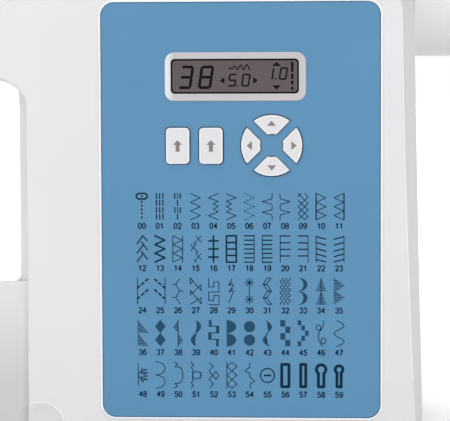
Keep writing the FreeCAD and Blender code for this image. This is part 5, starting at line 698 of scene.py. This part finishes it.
pictures[24] = {"fine": [LEFT_LINE], "bold": [dash for line in RISE for dash in dashed(line, 3.2, 2.2)]}
pictures[25] = mirror(pictures[24])
pictures[26] = {"fine": [TWIG] + THORNS}
pictures[27] = {"fine": [[(-2.4, 10.2), (-5.4, 7.2), (-5.4, 13.4), (5.4, 0.6), (5.4, 6.6), (-5.4, -3.6),
                          (-5.4, 0.8), (5.4, -12.8), (5.4, -6.4), (-5.4, -13.2)]]}
pictures[28] = {"fine": [GREEK]}
pictures[29] = {"fine": [[(0.8, 12.9), (-2.8, 5.8), (2.4, 6.8), (-2.4, -0.6), (2.4, 0.6), (-2.6, -11.4)],
                         [(-2.8, 5.8), (1.2, 9.6)], [(-2.4, -0.6), (1.4, 3.2)]]}
pictures[30] = {"fine": [MIDDLE_LINE] + star(8.5) + star(-8.2)}
pictures[31] = {"fine": [shift(LEAF, 7), shift(LEAF, -6.4)] + flip([shift(LEAF, 0.3), shift(LEAF, -13.1)])}
pictures[32] = {"fine": [[(x + 1.5 * math.sin(1.15 * z), z) for z in even(40)] for x in (-3.6, 0, 3.6)]}
pictures[33] = {"satin": [crescent(6.7), crescent(-6.7)]}
pictures[34] = {"fine": [[(-half, z), (half, z)] for top in (12.8, -0.6) for half, z in
                         zip(even(8, 0.4, 5.0), even(8, top, top - 12.0))] + [MIDDLE_LINE]}
pictures[35] = {"fine": [[(-5.2, z + 0.4), (5.4 - 1.45 * min(abs(z - 5.9), abs(z + 6.1)), z)]
                         for z in even(17, 12.4, -12.4)]}
print("pictures so far", len(pictures))

# %% [markdown]
# The last two rows hold satin stitches, whose thread lies so close that they read as filled shapes,
# then scallops and other borders and, at the end, a button and four buttonholes with wide edges.

# %% Rows 3 and 4: satin stitches, scallops and buttonholes
DROP = [(0.2, 13.2), (3.2, 11.4), (5.3, 7.6), (4.8, 4.4), (2.4, 1.6), (-1.6, -0.4), (0.4, 4), (0.6, 8.6)]
PETAL = [(0.4, 12.2), (3.6, 9.6), (4.9, 6), (2.4, 2), (0.6, 4.4), (-0.2, 8)]
CURL = [(2.2, 13.3), (2.9, 9.8), (0.6, 5), (-2.2, 0.6), (-3, -4.6), (-0.8, -9.6), (1, -12.8)]
BRAID = [(-5, 12.9), (-0.7, 9), (-5, 4.3), (2.2, -4.3), (4.9, 0), (2, 4), (-5, -4.3), (-0.7, -8.6),
         (-4.4, -12.9)]
SCRIBBLE = [(-4.6, 0), (0, 7), (-2, 4.4), (4, 5.8), (-2.6, 1.8), (5.2, 2.6), (0, 0.6), (5, -1.2),
            (-2.6, -2.4), (4.6, -4.6), (-2, -5), (1, -7.2), (-4.4, -1)]
HOOK_END = [(-4.4, 12.8), (-0.6, 11.4), (-3.4, 8.4), (0.4, 8.2)]
WAVY = [(-5, 13.4), (-2.8, 10), (-5, 7.6), (-2.8, 5.5), (-3.6, 3.5), (-3.6, 0)]
HOLE_TOP = 11.2            # half the height of every buttonhole


def buttonhole(half):
    return [(-half, HOLE_TOP), (half, HOLE_TOP), (half, -HOLE_TOP), (-half, -HOLE_TOP), (-half, HOLE_TOP)]


def keyhole(r, half):
    side = math.degrees(math.asin(half / r))
    bow = arc(0, 6.2, r, -90 + side, 360 - 2 * side, 20)
    return bow + [(-half, -HOLE_TOP), (half, -HOLE_TOP), bow[0]]


pictures[36] = {"fine": [[(-OUT, z), (-OUT + reach, z - 0.9)] for top in (13, -0.2) for reach, z in
                         zip(even(8, 0.8, 10.4), even(8, top, top - 11.6))]}
pictures[37] = {"satin": [[(0, z + 6.9), (5.3, z), (0, z - 6.9), (-5.3, z)] for z in (6.7, -6.7)]}
pictures[38] = {"fine": [MIDDLE_LINE]
                + [[(0, side * z), (-side * (5.0 - 0.85 * abs(z - 6.6)), side * z - 0.5)]
                   for side in (1, -1) for z in even(8, 11.6, 1.4)]}
pictures[39] = {"satin": [DROP, turn_round(DROP)]}
pictures[40] = {"fine": [[(-5, 7), (-2.2, 7), (5, 7), (5, 0.4), (-5, 0.4), (-5, -6.2), (5, -6.2), (5, -7)]],
                "satin": [tile(-5, -2.2, 7, 13.3), tile(2.2, 5, 0.4, 6.6), tile(-5, -2.2, -6, 0),
                          tile(2.2, 5, -13.2, -6.6)]}
pictures[41] = {"satin": [arc(-5, z, 6.6, -90, 180, 14, 1.45) for z in (6.7, -6.7)]}
pictures[42] = {"satin": [arc(0, z, 5.7, steps=20)[:-1] for z in (6.7, -6.7)]}
pictures[43] = {"fine": [[(-1.2, 13.2), (1.2, 8), (1.4, 3), (-1.4, -3), (-1.2, -8), (1.2, -13.2)]],
                "satin": [PETAL, turn_round(PETAL)]}
pictures[44] = {"satin": [tile(left, left + 5, low, low + 6.5) for left, low in
                          ((-5, 6.9), (0, 0.4), (-5, -6.2), (0, -12.8))]}
pictures[45] = {"satin": [tile(left, left + 3.6, low, low + 5.1) for left, low in
                          ((-5.5, 8.2), (-1.85, 3.0), (1.8, -2.2), (-1.85, -7.4), (-5.5, -12.8))]}
pictures[46] = {"fine": [CURL, arc(-2.6, 6.0, 2.8, 10, 360, 14, 0.8),
                         arc(2.2, -7.4, 2.9, 230, 360, 14, 0.8)]}
pictures[47] = {"fine": [[(-5 * math.cos(z * math.pi / 8), z) for z in even(31)]]}
pictures[48] = {"fine": [[(-4.6, 11.5), (-4.6, -10.5)], SCRIBBLE]}
pictures[49] = {"fine": [arc(-4.8, z, 6.6, 90, -180, 14, 1.42) for z in (6.7, -6.7)]}
pictures[50] = {"fine": [HOOK_END, upside_down(HOOK_END), arc(0.4, 0, 8.2, 90, -180, 16, 0.5)]}
pictures[51] = {"fine": [WAVY, upside_down(WAVY), arc(0.6, 0, 4, steps=14), [(3.6, 2.4), (5.4, 3)],
                         [(4.6, 0), (6, 0)], [(3.6, -2.4), (5.4, -3)]]}
pictures[52] = {"fine": [BRAID]}
pictures[53] = {"fine": [LEFT_LINE] + [[(-OUT, z), (0.2, z + 4.3), (5.2, z), (0.2, z - 4.3), (-OUT, z)]
                                       for z in (8.8, 0, -8.8)]}
pictures[54] = {"fine": [[(0.1, 12.9), (0.1, 7.9), (-OUT, 4.7), (0.1, 2.1), (0.1, -1.4), (5, -5.7),
                          (0.5, -8.6), (0.5, -13.3)]]}
pictures[55] = {"medium": [arc(0, 0, 7, steps=24)], "bold": [[(-2.9, 0), (2.9, 0)]],
                "fine": [[(side * 3, -1), (side * 3, 1)] for side in (-1, 1)]}
pictures[56] = {"wide": [buttonhole(3.6)]}
pictures[57] = {"wide": [buttonhole(2.5)]}
pictures[58] = {"wide": [keyhole(4.7, 2.7)]}
pictures[59] = {"wide": [keyhole(3.8, 2.1)]}
print("pictures", len(pictures))

# %% [markdown]
# Now the ink goes on. Every run of a stroke becomes its own short piece of curve, a little longer than
# the run, so that corners stay full. A curve's square section pressed flat is a fine stand-in for a line
# of ink, with few faces. The filled shapes are satin stitches and a little lighter.

# %% Print the chart
GRID = 0.523 * MM
FIRST_COLUMN, COLUMN_PITCH, COLUMNS = 47.25 * MM, 9.34 * MM, 12
FIRST_ROW, ROW_PITCH = 129.7 * MM, 22.1 * MM
INK_LIFT = 0.01 * MM                # in front of the face that carries the print
INK_DEPTH = PANEL_FACE - INK_LIFT
INK_SIDE = {"fine": 0.61, "medium": 0.92, "bold": 1.22, "wide": 2.1}    # of a stroke's square section
INK_SQUEEZE = 0.04
INK_OVERLAP = 0.3                   # share of that side by which a run is longer at each end
DIAGONAL = math.sqrt(2)             # of a square; the section stands on a corner
ink_blue = plastic("ink_blue", srgb(10, 47, 72), 0.6, grain=0.05, spread=0.06, shine=0.1)
ink_satin = plastic("ink_satin", srgb(35, 76, 104), 0.6, grain=0.05, spread=0.12, shine=0.1)


def place_of(number):
    down, across = divmod(number, COLUMNS)
    return FIRST_COLUMN + COLUMN_PITCH * across, FIRST_ROW - ROW_PITCH * down


def on_chart(points, number):
    """Points of a picture at its place on the panel."""
    x0, z0 = place_of(number)
    return [(x0 + x * GRID, z0 + z * GRID) for x, z in points]


def ink_sheet(name, side):
    """A drawing for short strokes of ink with a square section and closed ends."""
    return line_drawing(name, side / 2 * DIAGONAL, caps=True)


for weight, side in INK_SIDE.items():
    sheet = ink_sheet("strokes", side * GRID)
    for number, picture in pictures.items():
        for line in picture.get(weight, []):
            for start, end in zip(line, line[1:]):
                over = side * INK_OVERLAP / math.dist(start, end)
                run = (along(start, end, -over), along(start, end, 1 + over))
                draw(sheet, on_chart(run, number), closed=False)
    print_down(sheet, INK_DEPTH, "chart_" + weight, "machine_body", ink_blue, INK_SQUEEZE)

sheet = drawing("shapes")
for number, picture in pictures.items():
    for shape in picture.get("satin", []):
        draw(sheet, on_chart(shape, number), closed=True)
print_down(sheet, INK_DEPTH, "chart_satin", "machine_body", ink_satin)

# %% [markdown]
# Under every picture stands its number. A figure is strokes too, in a box as high as 1, and its round
# parts are arcs, so no font is needed. The nine is the six turned upside down.

# %% Print the numbers
SIX = [arc(0.28, 0.31, 0.31, wide=0.9),
       [(0.53, 0.83), (0.45, 0.96), (0.29, 1.0), (0.12, 0.9), (0.03, 0.68), (0, 0.33)]]
FIGURE_WIDE, FIGURE_STEP = 0.56, 0.78
FIGURES = {
    "0": [arc(0.28, 0.5, 0.5, wide=0.56)],
    "1": [[(0.08, 0.76), (0.22, 0.84), (0.34, 1.0), (0.34, 0)]],
    "2": [arc(0.28, 0.72, 0.28, 170, -205, 12) + [(0, 0), (FIGURE_WIDE, 0)]],
    "3": [arc(0.26, 0.74, 0.26, 165, -255, 12), arc(0.27, 0.26, 0.27, 90, -255, 12)],
    "4": [[(0.43, 0), (0.43, 1.0), (0, 0.32), (0.58, 0.32)]],
    "5": [[(0.52, 1.0), (0.12, 1.0)] + arc(0.26, 0.32, 0.31, 140, -300, 14, 0.95)],
    "6": SIX,
    "7": [[(0, 1.0), (FIGURE_WIDE, 1.0), (0.32, 0.55), (0.2, 0)]],
    "8": [arc(0.28, 0.76, 0.24), arc(0.28, 0.27, 0.27, wide=1.04)],
    "9": [[(FIGURE_WIDE - x, 1.0 - z) for x, z in line] for line in SIX],
}
FIGURE_HIGH, FIGURE_SIDE = 5.25 * GRID, 0.92 * GRID
NUMBER_BELOW = 10.05 * MM


def write(sheet, text, x, z, high):
    """Write figures centred on a place, as runs of strokes."""
    left = x - high * (FIGURE_STEP * (len(text) - 1) + FIGURE_WIDE) / 2
    for i, sign in enumerate(text):
        for line in FIGURES[sign]:
            placed = [(left + (px + i * FIGURE_STEP) * high, z + (pz - 0.5) * high) for px, pz in line]
            for run in zip(placed, placed[1:]):
                draw(sheet, run, closed=False)


sheet = ink_sheet("numbers", FIGURE_SIDE)
for number in pictures:
    x, z = place_of(number)
    write(sheet, "%02d" % number, x, z - NUMBER_BELOW, FIGURE_HIGH)
print_down(sheet, INK_DEPTH, "chart_numbers", "machine_body", ink_blue, INK_SQUEEZE)

# %% [markdown]
# The display shows what such a machine shows when it is switched on: the stitch number in two large
# leaning figures, the width and the length in small ones, a row of zigzag, and the little arrows that
# point at the keys. A figure is made of seven bars. The places are millimetres from the lower left
# corner of the signs. Bars are strokes and arrows are filled, each width on a sheet of its own.

# %% Figures and signs of the display
(WINDOW_X, LENS_FACE, WINDOW_Z), (WINDOW_RIGHT, _, WINDOW_TOP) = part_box("display_lens")
BARS = {"0": "abcdef", "1": "bc", "3": "abcdg", "5": "acdfg", "8": "abcdefg"}
BAR_GAP = 0.1                       # share of a bar's thickness, at each of its ends
LEAN = 0.15                         # sideways for each step up
SIGNS_X = WINDOW_X + 0.3 * MM
BAR_DEPTH, BAR_SQUEEZE = LENS_FACE - INK_LIFT, 0.05
SIGN_DEPTH = LENS_FACE - 2 * INK_LIFT


def figure(sign, x, z, width, height, thick):
    """The bars of a figure, each a run between two points with a small gap at the ends."""
    left, right = thick / 2, width - thick / 2
    low, mid, high = thick / 2, height / 2, height - thick / 2
    gap = BAR_GAP * thick
    ends = {"a": (left + gap, high, right - gap, high), "b": (right, high - gap, right, mid + gap),
            "c": (right, mid - gap, right, low + gap), "d": (left + gap, low, right - gap, low),
            "e": (left, mid - gap, left, low + gap), "f": (left, high - gap, left, mid + gap),
            "g": (left + gap, mid, right - gap, mid)}
    corners = [ends[name] for name in BARS[sign]]
    return [[(x + xa + LEAN * za, z + za), (x + xb + LEAN * zb, z + zb)] for xa, za, xb, zb in corners]


def pointer(x, z, half, deep, towards):
    """A triangle whose base is centred on x, z and whose tip lies in the given direction."""
    dx, dz = towards
    return [(x - dz * half, z + dx * half), (x + dx * deep, z + dz * deep), (x + dz * half, z - dx * half)]


CREST = [(29.7, 12.4), (30.8, 13.4), (31.4, 12.3), (32.8, 14.3), (34.2, 12.0), (35.9, 14.8), (37.4, 12.0),
         (39.1, 15.1), (40.8, 12.0)]
SIDE_X, SIDE_MARKS = 62.6, ((16.2, 10.8), (10.0, 7.3), (6.4, 4.5), (3.3, 1.7))
STROKES = {
    "large": figure("3", 3.4, 2.5, 6.5, 11.7, 1.0) + figure("8", 13.7, 2.5, 6.6, 11.7, 1.0),
    "small": figure("5", 29.1, 3.6, 4.0, 6.4, 0.6) + figure("0", 36.1, 3.6, 4.0, 6.4, 0.6)
    + figure("1", 48.4, 7.0, 4.0, 6.3, 0.6) + figure("0", 55.6, 7.0, 3.9, 6.3, 0.6),
    "crest": list(zip(CREST, CREST[1:])),
    "side": [[(SIDE_X, a), (SIDE_X, b)] for a, b in SIDE_MARKS],
}
STROKE_SIDE = {"large": 1.0, "small": 0.62, "crest": 0.4, "side": 0.85}
POINTS = [tile(33.7, 34.5, 3.5, 4.3), tile(53.5, 54.3, 7.0, 7.8)]
POINTERS = [pointer(27.5, 6.6, 1.75, 2.5, (-1, 0)), pointer(42.3, 6.6, 1.75, 2.5, (1, 0)),
            pointer(54.5, 14.0, 2.3, 2.3, (0, 1)), pointer(54.5, 4.1, 2.3, 2.3, (0, -1))]


def in_window(line):
    return [(SIGNS_X + x * MM, WINDOW_Z + z * MM) for x, z in line]


display_ink_and_edge_shade = plastic("display_ink_and_edge_shade", srgb(20, 15, 17), 0.5, grain=0.02, spread=0.05, shine=0.05)
for kind, lines in STROKES.items():
    sheet = ink_sheet("bars", STROKE_SIDE[kind] * MM)
    for line in lines:
        draw(sheet, in_window(line), closed=False)
    print_down(sheet, BAR_DEPTH, "display_" + kind, "machine_body", display_ink_and_edge_shade,
               BAR_SQUEEZE)
sheet = drawing("signs")
for shape in POINTS + POINTERS:
    draw(sheet, in_window(shape), closed=True)
print_down(sheet, SIGN_DEPTH, "display_signs", "machine_body", display_ink_and_edge_shade)

# %% [markdown]
# The display lies a little deeper than its frame, so shade falls round the window where the glass meets it,
# and it is painted as a thin dark line. It is one more closed line, just inside the edge of the glass.

# %% Painted shade round the window
EDGE_INSET, EDGE_HALF, EDGE_CORNER = 0.3 * MM, 0.4 * MM, 2 * MM
sheet = line_drawing("window_edge", EDGE_HALF)
outline = round_rect(WINDOW_X + EDGE_INSET, WINDOW_RIGHT - EDGE_INSET, WINDOW_Z + EDGE_INSET,
                     WINDOW_TOP - EDGE_INSET, EDGE_CORNER)
draw(sheet, outline, closed=True)
# Painted shade: the display's dark ink also draws the line round the window.
print_down(sheet, LENS_FACE, "display_edge_shade", "machine_body", display_ink_and_edge_shade, squeeze=0.1)

# %% [markdown]
# The arrows on the keys are printed in grey and move with their own key, so each is a piece of its own.
# On the ring every triangle points away from the middle, whichever key it sits on.

# %% Arrows on the panel keys
PATTERN_KEYS = ("pattern_tens_key", "pattern_units_key")
RING_KEYS = ("width_up_key", "length_up_key", "width_down_key", "length_down_key")
KEY_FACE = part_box("pattern_tens_key")[0][1]
ARROW = [(-2.35, 0.5), (0, 3.05), (2.35, 0.5), (1.05, 0.5), (1.05, -3.05), (-1.05, -3.05), (-1.05, 0.5)]
RING_ARROW_OUT, RING_ARROW_HALF, RING_ARROW_DEEP = 10.2, 2.3, 2.8
SIGN_LIFT = 0.005 * MM
arrow_grey = plastic("arrow_grey", srgb(139, 129, 127), 0.4, grain=0.03, shine=0.2)


def middle(node):
    low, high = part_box(node)
    return (low[0] + high[0]) / 2, (low[2] + high[2]) / 2


def print_sign(shapes, x, z, face, name, body, material):
    """Print filled shapes, drawn in millimetres round 0, 0, on a face that looks forwards."""
    sheet = drawing("sign")
    for shape in shapes:
        draw(sheet, [(x + px * MM, z + pz * MM) for px, pz in shape], closed=True)
    print_down(sheet, face - SIGN_LIFT, name, body, material)


for key in PATTERN_KEYS:
    print_sign([ARROW], *middle(key), KEY_FACE, key + "_arrow", key, arrow_grey)
ring_x = sum(middle(key)[0] for key in RING_KEYS) / len(RING_KEYS)
ring_z = sum(middle(key)[1] for key in RING_KEYS) / len(RING_KEYS)
for key in RING_KEYS:
    x, z = middle(key)
    away = Vector((x - ring_x, z - ring_z)).normalized()
    away = (round(away.x), round(away.y))
    base = (RING_ARROW_OUT * away[0], RING_ARROW_OUT * away[1])
    triangle = pointer(*base, RING_ARROW_HALF, RING_ARROW_DEEP, away)
    print_sign([triangle], ring_x, ring_z, KEY_FACE, key + "_arrow", key, arrow_grey)

# %% [markdown]
# Every panel key sits in its hole with a little play. From the front the gap lies in shade, painted as a
# thin dark line. Round a pattern key it shows at the top and the sides and is lost at the bottom, where
# light falls in, and round the ring it shows along the outer edge. It is drawn as an open line on the
# panel, just clear of the key itself, so the key still moves through it. The edge of a key's own face is
# rounded and shines, so a closed bright line rides on every key as a painted highlight.

# %% Painted shade in the key gaps and painted highlights on the key rims
PANEL_KEYS = PATTERN_KEYS + RING_KEYS
KEY_HALF = Vector((6.175, 9.425)) * MM
KEY_ROUND, KEY_STEPS = 2.2 * MM, 6
RING_OUTER, RING_INNER, RING_GAP = 15.9 * MM, 6.0 * MM, 4.7 * MM
RING_STEPS = 18
GAP_OUT, GAP_HALF = 0.25 * MM, 0.25 * MM
RIM_IN, RIM_HALF, RIM_SINK = 0.45 * MM, 0.3 * MM, 0.01 * MM


def key_outline(key, grow):
    """Points round the visible face of a panel key; those that carry the painted shade of the gap come
    first.
    """
    x, z = middle(key)
    if key in PATTERN_KEYS:
        a, b = KEY_HALF.x + grow, KEY_HALF.y + grow
        outline = round_rect(x - a, x + a, z - b, z + b, KEY_ROUND + grow, KEY_STEPS)
        last_corner = KEY_STEPS + 1
        return outline[-last_corner:] + outline[:-last_corner]
    out, inn, gap = RING_OUTER + grow, RING_INNER - grow, RING_GAP / 2 - grow
    aim = math.degrees(math.atan2(z - ring_z, x - ring_x))
    share = 180 / len(RING_KEYS)
    wide, slim = (share - math.degrees(math.asin(gap / r)) for r in (out, inn))
    outer = arc(ring_x, ring_z, out, aim - wide, 2 * wide, RING_STEPS)
    return outer + arc(ring_x, ring_z, inn, aim + slim, -2 * slim, steps=6)


# Painted shade: the dark line in the gap round each key.
gap_shade = plastic("gap_shade", srgb(34, 56, 74), 0.7, shine=0.05)
# Painted highlight: a bright line on each key's rounded edge.
key_rim = plastic("key_rim", srgb(252, 252, 252), 0.3)
sheet = line_drawing("gaps", GAP_HALF)
for key in PANEL_KEYS:
    dark = 3 * (KEY_STEPS + 1) + 1 if key in PATTERN_KEYS else RING_STEPS + 1
    draw(sheet, key_outline(key, GAP_OUT)[:dark], closed=False)
print_down(sheet, INK_DEPTH, "key_gap_shade", "machine_body", gap_shade, squeeze=0.05)
for key in PANEL_KEYS:
    sheet = line_drawing("rim", RIM_HALF, rounding=1)
    draw(sheet, key_outline(key, -RIM_IN), closed=True)
    print_down(sheet, KEY_FACE + RIM_SINK, key + "_rim", key, key_rim, squeeze=0.1)

# %% [markdown]
# The three keys on the head carry the usual signs: a triangle with a bar for start and stop, two
# triangles for needle up and down, and a bent arrow for sewing backwards. They are printed as the arrows
# are, each on its own key.

# %% Signs on the head keys
sign_grey = plastic("sign_grey", srgb(112, 112, 116), 0.4, grain=0.03)
HEAD_SIGNS = {
    "start_key": [[(-2.4, -2.4), (1.2, 0), (-2.4, 2.4)], tile(1.8, 2.7, -2.4, 2.4)],
    "needle_key": [[(-2.2, 0.5), (0, 3.2), (2.2, 0.5)], [(-2.2, -0.5), (2.2, -0.5), (0, -3.2)]],
    "reverse_key": [arc(0, 0.4, 2.9, 0, 180, 14) + arc(0, 0.4, 1.9, 180, -180, 14),
                    [(-2.9, 0.4), (-2.9, -2.6), (-1.9, -2.6), (-1.9, 0.4)],
                    [(0.9, 0.4), (3.9, 0.4), (2.4, -2.4)]],
}
for key, shapes in HEAD_SIGNS.items():
    print_sign(shapes, *middle(key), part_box(key)[0][1], key + "_sign", key, sign_grey)

# %% [markdown]
# Two plain marks help the hand on the head: a wedge beside the speed slider, wider where the machine
# runs faster, and a small pointer beside the tension dial that says where to read it.

# %% Marks on the front of the head
HEAD_FACE = PANEL_FACE + 22.4 * MM
HEAD_MARKS = {
    "speed_slider": ("speed_mark", [(-9.2, 0), (-9.2, 18), (-12.0, 18)]),
    "tension_dial": ("tension_mark", pointer(9.2, 0, 1.4, 2.4, (-1, 0))),
}
for node, (name, shape) in HEAD_MARKS.items():
    print_sign([shape], *middle(node), HEAD_FACE, name, "machine_body", sign_grey)
